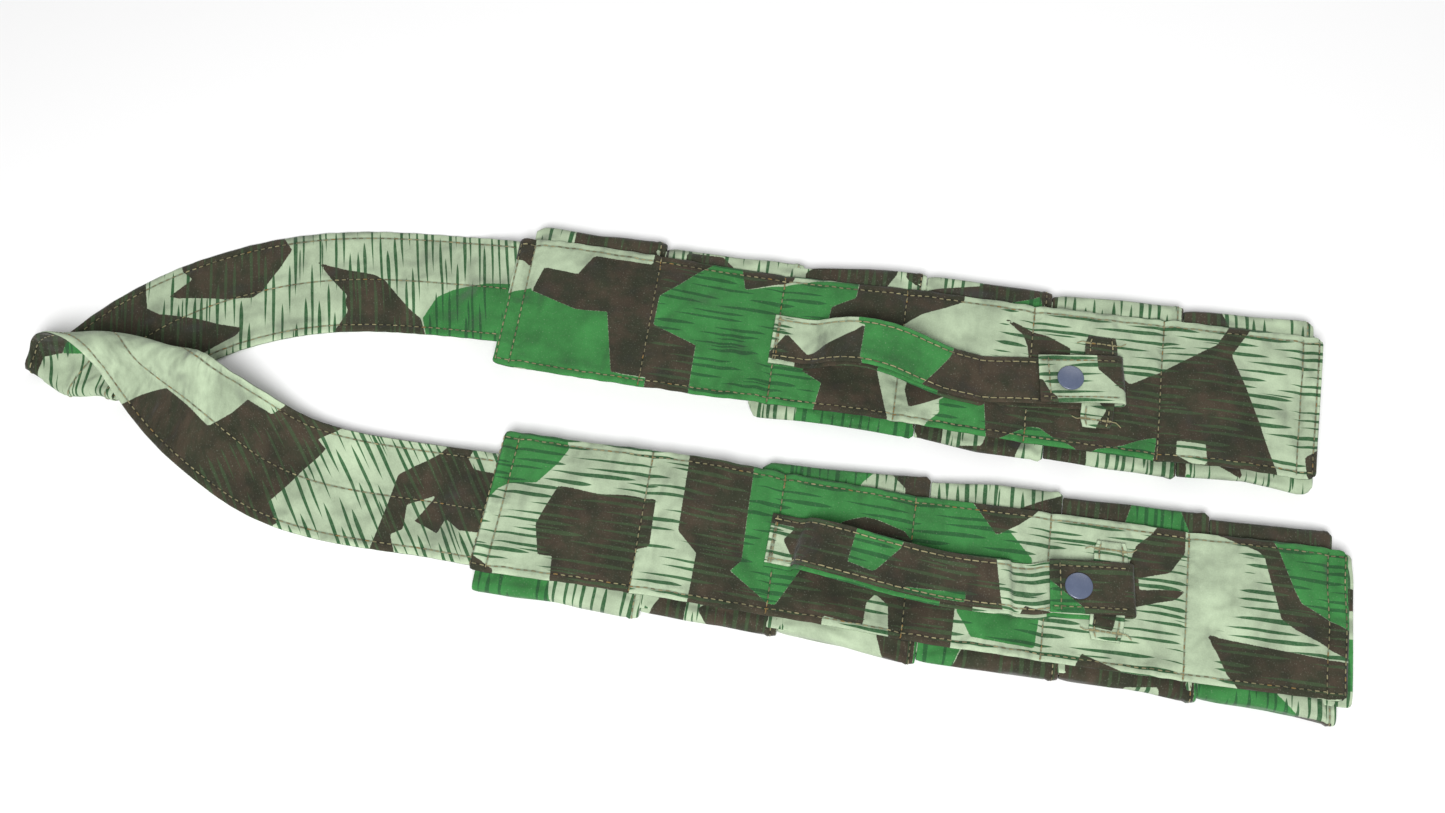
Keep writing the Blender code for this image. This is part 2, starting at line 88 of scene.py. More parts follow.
# Each leg as it lies. out is the side its pouches open to. far and near are the panel's two long edges as
# (u, y), lean is how far its ends slant, and seams and lines are its stitching across. outer and inner are
# how far each pouch's flap fold and back fold reach from the middle at their start, middle and end. snap is
# the belt's press stud, keeper the middle of the bar over the belt and half its length.
LEGS = {
    "leg1": {
        "out": 1.0,
        "seeds": {"panel": 10, "folds": 0, "belt": 300, "keeper": 400, "leg_thread": 11, "tab_thread": 13},
        "far": ((-10, 38.5), (0, 40), (20, 40.5), (45, 40), (70, 39.2), (100, 38.2), (135, 37.7), (180, 38.3),
                (206, 39.8), (240, 38.8), (275, 38.2), (310, 39.4), (345, 40.8), (380, 42), (430, 42.4)),
        "near": ((-10, -39), (10, -39.8), (40, -40.8), (70, -41.3), (110, -41.3), (130, -40.3), (150, -40.8),
                 (185, -40.1), (206, -41), (240, -42.6), (275, -43), (345, -43), (370, -42), (430, -42)),
        "seams": (69.5, 138.8, 206.0, 275.4, 345.4),
        "left_lines": (-8.3, -0.8),
        "right_lines": (418.8, 427.2),
        "lean": (0.6, 2.8),
        "flap_start": -2.4,
        "flap_ends": (70.8, 147.9, 215.6, 284.6, 356.0, 426.2),
        "pouch_ends": (72.0, 128.5, 218.0, 286.4, 356.0, 427.0),
        "outer": ((50.0, 48.6, 49.6), (46.6, 46.2, 47.4), (45.2, 49.4, 51.4), (51.0, 50.4, 50.0),
                  (48.9, 50.6, 51.5), (50.2, 51.4, 52.8)),
        "inner": ((-37.0, -37.0, -37.0), (-37.0, -37.0, -37.0), (-46.6, -45.2, -46.4), (-45.8, -49.2, -49.0),
                  (-48.0, -48.8, -49.2), (-47.8, -45.2, -48.8)),
        "last_corner": (3.0, 4.0),
        "snap": (296.5, -4.9),
        "fold_u": 322.8,
        "keeper": (312.2, -2.9, 27.2),
        "belt_turn": 7.0,
    },
    "leg2": {
        "out": -1.0,
        "seeds": {"panel": 20, "folds": 20, "belt": 330, "keeper": 420, "leg_thread": 12, "tab_thread": 14},
        "far": ((-10, 39.5), (40, 39.6), (90, 40.4), (110, 39.4), (125, 38.2), (160, 37.3), (190, 36),
                (212, 35.2), (262, 36.2), (320, 36.5), (350, 36.2), (380, 37), (410, 38), (430, 37.6)),
        "near": ((-10, -39.3), (60, -39.2), (100, -40), (140, -41), (170, -41.5), (200, -42.8), (225, -44),
                 (350, -44), (380, -43.6), (430, -42.6)),
        "seams": (70.2, 140.5, 209.2, 279.2, 350.0),
        "left_lines": (-8.4, -0.6),
        "right_lines": (419.3, 428.0),
        "lean": (4.0, 0.0),
        "flap_start": -9.4,
        "flap_ends": (76.8, 147.2, 217.6, 289.0, 357.5, 426.0),
        "pouch_ends": (74.0, 127.5, 215.9, 284.6, 360.4, 423.4),
        "outer": ((47.6, 47.4, 49.6), (45.8, 46.6, 47.4), (45.4, 47.0, 51.0), (49.0, 48.2, 47.8),
                  (47.2, 46.8, 48.4), (46.8, 47.4, 50.0)),
        "inner": ((-37.0, -37.0, -37.0), (-37.0, -37.0, -37.0), (-44.4, -46.2, -49.0), (-47.2, -50.8, -51.4),
                  (-49.4, -50.4, -51.2), (-48.6, -49.4, -51.0)),
        "last_corner": (1.0, 1.0),
        "snap": (294.6, -4.2),
        "fold_u": 320.6,
        "keeper": (310.2, -2.9, 26.6),
        "belt_turn": 5.0,
    },
}
for side, leg in LEGS.items():
    low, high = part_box(side + "_back_panel")
    leg["x"] = low[0] / MM + PANEL_HEM
    leg["y"] = (low[1] + high[1]) / 2.0 / MM


# ---------------------------------------------------------------- smooth shapes


def noise(seed, x, y, size):
    """Smooth value noise from -1 to 1 with features of about that size."""
    values = np.random.default_rng(seed).uniform(-1.0, 1.0, (64, 64))
    gx, gy = np.broadcast_arrays(np.asarray(x) / size + 17.3, np.asarray(y) / size + 9.1)
    ix, iy = np.floor(gx).astype(int), np.floor(gy).astype(int)
    fx, fy = gx - ix, gy - iy
    fx, fy = fx * fx * (3.0 - 2.0 * fx), fy * fy * (3.0 - 2.0 * fy)
    near = values[ix % 64, iy % 64] * (1.0 - fx) + values[(ix + 1) % 64, iy % 64] * fx
    far = values[ix % 64, (iy + 1) % 64] * (1.0 - fx) + values[(ix + 1) % 64, (iy + 1) % 64] * fx
    return near * (1.0 - fy) + far * fy


def ease(x):
    """0 below 0, 1 above 1, smooth between."""
    x = np.clip(x, 0.0, 1.0)
    return x * x * (3.0 - 2.0 * x)


def curve(places, knots, softness=6.0):
    """A line through (place, value) knots with its corners smoothed."""
    where, values = np.transpose(np.asarray(knots, float))
    fine = np.arange(where[0] - 40.0, where[-1] + 40.0, 1.0)
    reach = np.arange(-3.0 * softness, 3.0 * softness + 1.0)
    weights = np.exp(-0.5 * (reach / softness) ** 2)
    line = np.interp(fine, where, values)
    half = len(reach) // 2
    padded = np.pad(line, half, mode="edge")
    smooth = np.convolve(padded, weights / weights.sum(), mode="valid")
    return np.interp(places, fine, smooth)


def ridge(distance, width):
    """1 at no distance, fading to nothing over about twice the width."""
    return np.exp(-((distance / width) ** 2))


def grid(first, second):
    """Both coordinates of every point in a grid."""
    return np.meshgrid(first, second, indexing="ij")


def travelled_along(path):
    """Distance travelled at each point of a path."""
    return np.concatenate([[0.0], np.cumsum(np.linalg.norm(np.diff(path, axis=0), axis=1))])


def spline(points, per_span):
    """Points along a Catmull-Rom curve through the given ones."""
    points = np.asarray(points, float)
    steps = np.linspace(0.0, len(points) - 1.0, per_span * (len(points) - 1) + 1)
    padded = np.concatenate([[2 * points[0] - points[1]], points, [2 * points[-1] - points[-2]]])
    first = np.minimum(steps.astype(int), len(points) - 2)
    t = (steps - first)[:, None]
    p0, p1, p2, p3 = (padded[first + k] for k in range(4))
    square = (2 * p0 - 5 * p1 + 4 * p2 - p3) * t * t
    cube = (3 * p1 - p0 - 3 * p2 + p3) * t * t * t
    return 0.5 * (2 * p1 + (p2 - p0) * t + square + cube)


# ---------------------------------------------------------------- printed pattern

PAINT_REACH = 6.0


def inside_distance(outline, x, y):
    """Distance to a polygon's edge, positive inside it."""
    points = np.asarray(outline, float)
    best = np.full(x.shape, 1e9)
    inside = np.zeros(x.shape, bool)
    for (x0, y0), (x1, y1) in zip(points, np.roll(points, -1, axis=0)):
        dx, dy = x1 - x0, y1 - y0
        share = np.clip(((x - x0) * dx + (y - y0) * dy) / (dx * dx + dy * dy + 1e-9), 0.0, 1.0)
        best = np.minimum(best, np.hypot(x - x0 - share * dx, y - y0 - share * dy))
        if dy != 0.0:
            crossing = ((y0 > y) != (y1 > y)) & (x < dx * (y - y0) / dy + x0)
            inside ^= crossing
    return np.where(inside, best, -best)


def painted(layers, x, y):
    """Distances from the edges of the brown, green and plain areas, positive inside.

    They are painted in order, and base paints over brown and green with the pale ground."""
    fields = {name: np.full(x.shape, -PAINT_REACH) for name in ("brown", "green", "plain")}
    for colour, outline in layers:
        shape = inside_distance(outline, x, y)
        if colour == "plain":
            fields["plain"] = np.maximum(fields["plain"], shape)
            continue
        for name in ("brown", "green"):
            if name == colour:
                fields[name] = np.maximum(fields[name], shape)
            else:
                fields[name] = np.minimum(fields[name], -shape)
    return {name: np.clip(value, -PAINT_REACH, PAINT_REACH) for name, value in fields.items()}


# Outlines of the printed areas on each back panel, in (u, y) millimetres. Later ones cover earlier ones.
PANEL_PRINT = {
    "leg1": (
        ("green", ((-12, 3), (-6, 6), (2, 9.5), (3, 7.5), (28, -1), (46, 0), (54, -35), (73, -36), (73, -45),
                   (-12, -45))),
        ("brown", ((-12, 25.5), (-5, 25), (-0.8, 22), (-0.8, 45), (-12, 45))),
        ("brown", ((3, 7.5), (7, 22.5), (26, 20.5), (33, 33.5), (65.5, 33), (66, 45), (147, 45), (143, 34),
                   (118, 25), (100, 20), (96.5, -13), (96.5, -45), (73, -45), (73, -35.5), (54, -35), (46, 0),
                   (28, -1))),
        ("green", ((72.5, 14), (92, 32.5), (100, 38.5), (114.5, 38.5), (118, 25), (131, 29), (146, 33),
                   (157, 36.5), (179, 38.5), (178.5, 29), (166.5, 21.5), (165, 10), (155, -19), (166, -24.5),
                   (163, -45), (96.5, -45), (96.5, -13), (72, -3.5))),
        ("base", ((144, 34.5), (163, 38.5), (164, 45), (147, 45))),
        ("brown", ((166, 21.5), (178.5, 29), (180, 45), (236.5, 45), (237, 35), (228, 30), (215, 24),
                   (206, 17), (194, -12), (203, -40), (203, -45), (163, -45), (166, -24.5), (155, -19),
                   (165, 10))),
        ("brown", ((212, -12), (210.5, -22), (213.5, -32), (229, -25), (237, -19), (237, -8))),
        ("green", ((238, -18), (229, -26), (230, -33), (224, -39), (221, -45), (256, -45), (254, -32),
                   (252, -18))),
        ("brown", ((252, -18), (254, -32), (256, -45), (408, -45), (407, -40), (403, -30), (397, -12),
                   (390, 6), (382, 24.5), (392, 42), (393, 45), (381, 45), (380, 41), (374, 29.5),
                   (347, 10.5), (329, -1), (325, 2), (300, 4), (275, 0))),
        ("brown", ((258, 28.5), (275, 23), (284, 20.5), (296, 15.5), (296, 2), (275, 2), (273, 14),
                   (270, 20))),
        ("green", ((259, -45), (269, -38.5), (277, -33.5), (283, -33.5), (290, -37.5), (301, -41.5),
                   (306, -45))),
        ("green", ((308, -45), (314, -41), (326, -37.5), (335, -33), (344.5, -29.5), (344, -36),
                   (343, -45))),
        ("base", ((355, -30), (370, -30), (371.5, -41.5), (363, -42), (355, -38))),
        ("brown", ((422, -29.5), (432, -22), (432, -45), (426, -45), (423, -40))),
        ("plain", ((-12, 45), (71, 45), (71, -45), (-12, -45))),
        ("plain", ((163, 45), (165, 10), (157, -16), (166, -24), (163, -45), (222, -45), (228, -30),
                   (214, -8), (254, 6), (257, 32), (237, 45))),
    ),
    "leg2": (
        ("green", ((-14, 45), (23, 45), (24, 40), (26.5, 34), (22, 25), (13, 12.5), (-2, 10.5), (-6, 7),
                   (-10, 1), (-14, -4))),
        ("brown", ((24.5, 12.5), (32, 12.5), (47, 11), (60, 12.5), (76, 12.5), (77, -14), (70.5, -15.5),
                   (70.5, -40), (30, -40), (28.5, -26), (21, -26), (17, -10))),
        ("brown", ((-14, -30), (-8, -33), (0, -37), (0, -45), (-14, -45))),
        ("brown", ((89.5, 45), (90, -3), (101, -13.5), (100.5, -45), (169, -45), (169, -36.5), (180, -38),
                   (189.5, -38.5), (190, -27), (194, -21.5), (201, -26.5), (203, -45), (234, -45),
                   (234.5, -22), (238, -10), (211, -2), (172, -2), (156, -12), (144.5, -35), (140, -34),
                   (119.5, -20), (124.5, -14), (123.5, 45))),
        ("green", ((123.5, 45), (238, 45), (238, 36), (252, 19.5), (258, 23), (271, 9), (271, -4), (156, -5),
                   (156, -12), (144.5, -35), (140, -34), (119.5, -20), (124.5, -14))),
        ("brown", ((172, 14), (178, 17), (184, 19), (190, 18.5), (205, 14.5), (211, 8), (211, -4),
                   (172, -4))),
        ("brown", ((237, 45), (237.5, 36.5), (252, 19.5), (262, 26), (270, 33), (273, 37), (273, 45))),
        ("green", ((234.5, -18), (277, -18), (275.5, -38), (243.5, -37), (240, -31), (235.5, -25))),
        ("brown", ((334, 45), (348, 45), (348, 24), (341, 12), (325, 6.5), (326, 0.5), (349, 3.5),
                   (344, -2.5), (324, -9), (318, 0), (320, 14), (323, 24), (330, 31), (334, 37))),
        ("brown", ((296, -45), (299, -37), (318, -43), (322, -45))),
        ("brown", ((354, 45), (361, 37), (385, 30), (388, 27), (391, 15), (397, -5), (405, -9.5),
                   (420, -15.5), (433, -22), (433, -5), (420, -1), (407, 5), (404, 10), (395, 33), (391, 38),
                   (391, 45))),
        ("green", ((391, 45), (391, 38), (395, 33), (404, 10), (407, 5), (420, -1), (433, -6), (433, 45))),
        ("brown", ((360, -18.5), (385, -20.5), (405, -21.5), (433, -22.5), (433, -41.5), (378, -45),
                   (371, -37), (366, -27))),
        ("plain", ((352, 42), (366, 34), (378, 24), (372, -8), (362, -18), (366, -45), (352, -45))),
    ),
}
# Bands of print on the strips of pouch cloth that show past the panel, in (u, distance past the panel's
# edge) millimetres: outer edge first, then inner edge.
OUTER_PRINT = {
    "leg1": (
        ("brown", ((20, -30), (20, 30), (73, 30), (73, -30))),
        ("brown", ((83, -30), (83, 8), (103, 8), (116, -3), (122, -30))),
        ("brown", ((148, -30), (148, 40), (203, 40), (199, 7), (194, -2), (190, -30))),
        ("brown", ((204, 6), (213, 0), (214, 40), (206, 40))),
        ("brown", ((214, -30), (214, 0), (245, 7), (262, 30), (288, 30), (287, -30))),
        ("green", ((259, -2), (270, 2), (278, 6), (280, -2))),
        ("brown", ((355, -30), (355, 50), (372, 50), (377, 8), (382, -2), (390, -30))),
    ),
    "leg2": (
        ("green", ((-12, -30), (-12, 60), (36, 60), (31, 12), (28, -2), (26, -30))),
        ("brown", ((90, -30), (88, 0), (83, 9), (70, 60), (96, 60), (100, 9), (102, -30))),
        ("brown", ((116, -30), (113, -1), (106, 5), (110, 10), (130, 60), (147, 60), (147, -30))),
        ("brown", ((195, -30), (197, 2), (202, 14), (190, 60), (216.5, 60), (216.5, -30))),
        ("green", ((216.5, -30), (216.5, 60), (236, 60), (236, 12), (240, 0), (246, -30))),
        ("brown", ((241, -30), (240, 2), (236, 12), (250, 60), (285, 60), (285, -30))),
        ("brown", ((285, -30), (285, 60), (356, 60), (356, -30))),
        ("base", ((322, 11), (338, 8), (340, 14), (322, 16))),
        ("green", ((356, -30), (356, 60), (412, 60), (409, 12), (396, 2), (392, -30))),
        ("brown", ((406, 12), (424, 10), (426, 60), (396, 60))),
        ("plain", ((147, -30), (147, 60), (203, 60), (198, -2), (195, -30))),
    ),
}
INNER_PRINT = {
    "leg1": (
        ("green", ((150, -30), (155, 0), (151, 40), (222, 40), (218, 0), (216, -30))),
        ("brown", ((216.5, -30), (217, 0), (222, 8), (240, 40), (286, 40), (272, 8), (275, 0), (286, -30))),
        ("base", ((233, -4), (233, 8), (254, 6), (257, -4))),
        ("brown", ((286.5, -30), (286.5, 40), (304, 40), (309, 8), (308, -30))),
        ("brown", ((355, -30), (355, 40), (364, 40), (361, 0), (361, -30))),
        ("green", ((361, 5), (372, 9), (376, 40), (360, 40))),
        ("brown", ((371, -4), (391, 5), (388, -4))),
    ),
    "leg2": (
        ("green", ((128, -30), (128, 40), (190, 40), (187, 7), (180, -1), (176, -30))),
        ("brown", ((204, -30), (203, 0), (195, 7), (190, 40), (216, 40), (216, -30))),
        ("brown", ((268, -30), (262, -2), (279, 7), (286, 10), (286, -30))),
        ("brown", ((285, -30), (285, 40), (326, 40), (320, 9), (317, -2), (314, -30))),
        ("green", ((314, -30), (317, -2), (320, 9), (326, 40), (350, 40), (346, 8), (350, 0), (352, -30))),
        ("brown", ((352, -30), (350, 0), (346, 8), (348, 40), (425, 40), (425, -30))),
    ),
}
# Belt straps, tabs and keepers, in (along, across) millimetres of their own cloth.
BELT_PRINT = {
    "leg1": (
        ("brown", ((136, -10), (144, 3), (157, -8), (161, -7), (166, -2.5), (180, 5.5), (184.5, 9.5),
                   (196, 9.5), (196, -20), (151, -20), (151, -13.5), (136, -13))),
        ("green", ((180, 20), (181, 10), (184.5, 9), (185, -9), (190, -20), (218, -20), (221, -13),
                   (232, 9), (233, 20))),
        ("brown", ((233, 20), (232, 9), (221, -13), (218, -20), (330, -20), (330, 20))),
        ("plain", ((148, -20), (148, 20), (330, 20), (330, -20))),
    ),
    "leg2": (
        ("brown", ((130, 20), (130, 8), (149, 8), (144, 0), (152, -10), (152, -20), (257, -20), (252.5, 20))),
        ("green", ((178.5, 20), (178.5, -5), (192, -6.5), (203, 10), (204, 20))),
        ("green", ((208, -10), (238, -6.5), (238, -12), (208, -12.5))),
        ("brown", ((262, -20), (268, -9), (279, -13), (280, -20))),
    ),
}
UNDER_PLY_PRINT = {
    "leg1": (
        ("brown", ((151, -20), (151, 20), (196, 20), (196, -20))),
        ("green", ((196, -20), (196, 20), (229, 20), (229, -20))),
        ("brown", ((229, -20), (229, 20), (330, 20), (330, -20))),
    ),
    "leg2": (
        ("green", ((130, -20), (130, 20), (226, 20), (226, -20))),
        ("brown", ((226, -20), (226, 20), (242, 20), (242, -20))),
        ("green", ((277, -20), (277, 20), (302, 20), (302, -20))),
    ),
}
TAB_PRINT = {
    "leg1": (
        ("brown", ((276, 1), (282, -1), (285, -7), (289, -11), (291, -20), (276, -20))),
        ("brown", ((311, 20), (311.5, 5.5), (322, -5), (331, -12), (331, 20))),
    ),
    "leg2": (
        ("brown", ((276, -20), (276, 20), (331, 20), (331, -20))),
        ("green", ((276, 5), (281, 2), (297, -11), (299, -20), (276, -20))),
    ),
}
KEEPER_PRINT = {
    "leg1": (
        ("brown", ((-12, 5), (12, 5), (12, 40), (-12, 40))),
        ("brown", ((1, -10), (1, -14), (4.5, -16.5), (1, -24), (-1, -30), (12, -30), (12, -10))),
    ),
    "leg2": (("brown", ((-7, -12), (4.5, -12), (3, -21), (-7, -20))),),
}
# Neck strap, in (distance along, across) millimetres; the underside shows in its middle fold.
NECK_PRINT = (
    ("green", ((-8, 36), (47, 36), (52, 22), (46, 8), (38, 3), (26, -1), (18, -3), (-8, -5))),
    ("brown", ((47, 36), (53, 22), (60, 17), (68, 9), (77, -1), (83, -4), (98, -7), (107, -10),
               (113.5, -13.5), (107, -3), (104, 1), (97, 9), (98, 13), (96, 19), (101, 27), (107, 36))),
    ("brown", ((160, 18.5), (165, 22), (188, 25), (215, 10), (250, -20), (250, -36), (196, -36), (203, -16),
               (199, -9), (186, 1), (172, 12))),
    ("brown", ((150, 2), (158, 0), (165, -2), (187, -13), (191, -16.5), (177, -21), (180, -28), (179, -36),
               (131, -36), (126, -23), (133, -13), (144, -1))),
    ("brown", ((350, -36), (355, -20), (362, -3), (378, -3.5), (392, -5), (397, 10), (399, 22), (416, 22.5),
               (420, 31), (421, 36), (470, 36), (463, 31), (450, 22), (457, 18), (449, 3), (441, -20),
               (449, -29), (445, -36))),
    ("brown", ((500, 12), (508, 18), (520, 26), (529, 36), (540, 36), (537, 26), (541, 21), (565, 20),
               (565, -13), (540, -14), (531, -9), (528, -18), (514, -13), (523, 3), (510, -3.5), (508, -4),
               (509, -18), (503, -22), (507, -31), (507, -36), (494, -36), (498, -5))),
    ("plain", ((295, -40), (295, 40), (415, 40), (398, -40))),
)
NECK_UNDER_PRINT = (
    ("brown", ((240, -40), (240, -22), (276, -22), (284, -15), (300, -19), (318, -40))),
    ("green", ((284, -15), (290, -5), (296, -10), (300, -19))),
    ("brown", ((330, 40), (318, 6), (345, -14), (380, -6), (372, 40))),
    ("green", ((30, -40), (58, -8), (96, 4), (120, -40))),
    ("brown", ((120, -40), (96, 4), (132, 18), (176, -2), (168, -40))),
    ("brown", ((420, 40), (432, 4), (476, -12), (520, 8), (512, 40))),
)


# ---------------------------------------------------------------- materials


class Nodes:
    """Short calls for building a shader's node tree."""

    def __init__(self, name):
        self.material = bpy.data.materials.new(name)
        self.material.use_nodes = True
        self.tree = self.material.node_tree
        self.shader = self.tree.nodes["Principled BSDF"]

    def node(self, kind, inputs=(), **settings):
        made = self.tree.nodes.new(kind)
        for name, value in settings.items():
            setattr(made, name, value)
        for slot, value in dict(inputs).items():
            self.put(made.inputs[slot], value)
        return made

    def put(self, socket, value):
        if isinstance(value, bpy.types.NodeSocket):
            self.tree.links.new(value, socket)
        else:
            socket.default_value = value

    def math(self, operation, a, b=0.0, c=0.0):
        made = self.node("ShaderNodeMath", {0: a, 1: b, 2: c}, operation=operation)
        return made.outputs[0]

    def times(self, a, b):
        return self.math("MULTIPLY", a, b)

    def scaled(self, value, factor, plus):
        return self.math("MULTIPLY_ADD", value, factor, plus)

    def step(self, value, low, high):
        """Smooth step of a value between two limits."""
        inputs = {"Value": value, "From Min": low, "From Max": high}
        made = self.node("ShaderNodeMapRange", inputs, interpolation_type="SMOOTHSTEP")
        return made.outputs["Result"]

    def fade(self, value, low, high):
        """1 up to the lower limit and 0 from the upper one."""
        return self.math("SUBTRACT", 1.0, self.step(value, low, high))

    def mix(self, share, a, b):
        made = self.node("ShaderNodeMix", {0: share, 6: a, 7: b}, data_type="RGBA")
        return made.outputs[2]

    def noise(self, vector, scale, detail=2.0, roughness=0.5):
        inputs = {"Vector": vector, "Scale": scale, "Detail": detail, "Roughness": roughness}
        return self.node("ShaderNodeTexNoise", inputs).outputs["Fac"]

    def attribute(self, name, output="Fac"):
        return self.node("ShaderNodeAttribute", attribute_name=name).outputs[output]

    def place(self):
        return self.node("ShaderNodeTexCoord").outputs["Object"]

    def split(self, vector):
        return self.node("ShaderNodeSeparateXYZ", {0: vector}).outputs

    def join(self, x, y, z=0.0):
        return self.node("ShaderNodeCombineXYZ", {0: x, 1: y, 2: z}).outputs[0]

    def shaded(self, colour, value):
        return self.node("ShaderNodeHueSaturation", {"Value": value, "Color": colour}).outputs[0]

    def bump(self, height, strength, distance, below=None):
        inputs = {"Height": height, "Strength": strength, "Distance": distance}
        if below is not None:
            inputs["Normal"] = below
        return self.node("ShaderNodeBump", inputs).outputs[0]

    def finished(self, inputs):
        """The material, its shader's sockets linked or set."""
        for name, value in inputs.items():
            self.put(self.shader.inputs[name], value)
        return self.material


PALE = (0.345, 0.425, 0.290, 1.0)
BROWN = (0.026, 0.029, 0.016, 1.0)
RUSSET = (0.049, 0.037, 0.024, 1.0)
GREEN = (0.034, 0.170, 0.042, 1.0)
RAIN = (0.024, 0.088, 0.030, 1.0)
RAIN_ON_GREEN = (0.018, 0.085, 0.026, 1.0)
RAIN_ON_BROWN = (0.038, 0.064, 0.028, 1.0)
LOOSE_FIBRE = (0.42, 0.45, 0.36, 1.0)
THREAD_PERIOD = 0.62


def rain_strokes(n, along, across, room, lane, length, width, share):
    """Printed strokes in loose lanes, blunt at one end and drawn out at the other. Sizes in millimetres.

    room narrows them, from 1 where there is nothing in their way to 0 where the ground stays plain."""
    lanes = n.math("DIVIDE", across, lane)
    row = n.math("FLOOR", lanes)
    start = n.node("ShaderNodeTexWhiteNoise", {"W": row}, noise_dimensions="1D").outputs["Value"]
    cells = n.scaled(start, 9.0, n.math("DIVIDE", along, length))
    key = n.join(row, n.math("FLOOR", cells))
    random = n.node("ShaderNodeTexWhiteNoise", {"Vector": key}, noise_dimensions="2D")
    red, green, blue = n.node("ShaderNodeSeparateColor", {"Color": random.outputs["Color"]}).outputs
    reach = n.scaled(red, 0.24, 0.28)
    place = n.math("DIVIDE", n.math("SUBTRACT", n.math("FRACT", cells), 0.5), reach)
    drawn = n.scaled(place, 0.30, 0.62)
    taper = n.math("SUBTRACT", 1.0, n.math("POWER", n.math("ABSOLUTE", place), 3.2))
    half = n.times(n.times(n.scaled(green, 0.45 * width, 0.65 * width), drawn), room)
    shift = n.scaled(blue, 0.36, 0.32)
    off = n.math("ABSOLUTE", n.math("SUBTRACT", n.math("FRACT", lanes), shift))
    depth = n.math("SUBTRACT", n.times(half, taper), n.times(off, lane))
    shown = n.math("LESS_THAN", random.outputs["Value"], share)
    return n.times(n.step(depth, -0.09, 0.13), shown)


def printed_strokes(n, cloth, along, across, piece):
    """Two sets of rain strokes in the same swaying lanes, with uneven ink, kept off the plain areas."""
    plain = n.attribute("plain")
    room = n.fade(plain, -PAINT_REACH, 0.5)
    long_sway = n.math("SUBTRACT", n.noise(cloth, 0.016, 0.0), 0.5)
    short_sway = n.math("SUBTRACT", n.noise(cloth, 0.06, 0.0), 0.5)
    sway = n.scaled(short_sway, 1.1, n.times(long_sway, 2.6))
    waved = n.math("ADD", n.scaled(piece, 0.61, across), sway)
    first = rain_strokes(n, along, waved, room, 4.9, 46.0, 1.66, 0.95)
    between = n.math("ADD", waved, 2.4)
    second = rain_strokes(n, n.math("ADD", along, 19.0), between, room, 4.9, 30.0, 0.9, 0.10)
    ink = n.math("MINIMUM", n.scaled(n.noise(cloth, 0.5, 3.0, 0.65), 0.4, 0.76), 1.0)
    return n.times(n.times(n.math("MAXIMUM", first, second), n.fade(plain, -1.0, 1.0)), ink)


def printed_colour(n, cloth, along, across, piece):
    """The print as new: pale, green and brown areas with slightly ragged edges, and strokes over them."""
    ragged = n.math("SUBTRACT", n.noise(cloth, 1.1, 2.0, 0.6), 0.5)
    brown = n.step(n.scaled(ragged, 0.7, n.attribute("brown")), -0.16, 0.16)
    green = n.step(n.scaled(ragged, 0.7, n.attribute("green")), -0.16, 0.16)
    strokes = printed_strokes(n, cloth, along, across, piece)
    ground = n.mix(strokes, PALE, RAIN)
    leaf = n.mix(strokes, GREEN, RAIN_ON_GREEN)
    rust = n.step(n.noise(cloth, 0.07, 3.0, 0.65), 0.36, 0.68)
    bark = n.mix(n.times(strokes, 0.8), n.mix(rust, BROWN, RUSSET), RAIN_ON_BROWN)
    return n.mix(brown, n.mix(green, ground, leaf), bark)


def worn_and_shaded_colour(n, cloth, grain, colour):
    """Worn patches, faded hems, single pale fibres, painted fold shade over uneven tone, and dark stitch
    grooves of painted shade and dirt.
    """
    # Broad cloudy darkening: painted shade standing in for soft folds, laid over the cloth's uneven tone.
    shade = n.scaled(n.noise(cloth, 0.045, 4.0, 0.6), 1.10, 0.27)
    shade = n.scaled(grain, 0.46, shade)
    worn = n.times(n.attribute("wear"), n.noise(cloth, 0.9, 3.0, 0.7))
    shade = n.scaled(worn, 0.42, shade)
    # Darker along the stitch lines: painted shade of the sunken grooves, with some dirt.
    groove = n.fade(n.attribute("seam"), 0.15, 1.0)
    shade = n.times(shade, n.scaled(groove, -0.48, 1.0))
    fibres = n.step(n.noise(cloth, 1.2, 2.0, 0.6), 0.58, 0.84)
    return n.mix(n.times(fibres, 0.34), n.shaded(colour, shade), LOOSE_FIBRE)


def cloth_relief(n, cloth, along, across, piece):
    """Plain weave with uneven yarns, then soft creases, small wrinkles and puckers beside the seams."""
    pitch = 2.0 * math.pi / THREAD_PERIOD
    weave = n.times(n.math("SINE", n.times(along, pitch)), n.math("SINE", n.times(across, pitch)))
    yarn = n.noise(n.join(n.times(along, 0.15), across, piece), 1.6, 2.0, 0.6)
    fine = n.bump(n.math("ADD", weave, n.times(yarn, 2.0)), 0.22, 0.00010)
    creases = n.noise(n.join(along, n.times(across, 0.8), piece), 0.052, 2.0, 0.35)
    wrinkles = n.noise(n.join(along, n.times(across, 0.35), n.math("ADD", piece, 7.0)), 0.085, 1.0)
    near_seam = n.fade(n.attribute("seam"), 1.0, 8.0)
    puckers = n.times(n.noise(cloth, 0.21, 1.0, 0.3), near_seam)
    creases = n.scaled(puckers, 0.11, n.scaled(wrinkles, 0.42, creases))
    return n.bump(creases, 1.0, 0.0125, fine)


def cloth_material(name):
    """Printed cotton, worn and creased, with painted shade in its colour. Its own coordinates are in
    millimetres.
    """
    n = Nodes(name)
    cloth = n.attribute("cloth", "Vector")
    along, across, piece = n.split(cloth)
    grain = n.noise(cloth, 1.3, 3.0, 0.75)
    return n.finished({
        "Base Color": worn_and_shaded_colour(n, cloth, grain, printed_colour(n, cloth, along, across, piece)),
        "Roughness": n.scaled(grain, 0.12, 0.80),
        "Normal": cloth_relief(n, cloth, along, across, piece),
        "Specular IOR Level": 0.22,
        "Sheen Weight": 0.12,
        "Sheen Roughness": 0.5,
    })


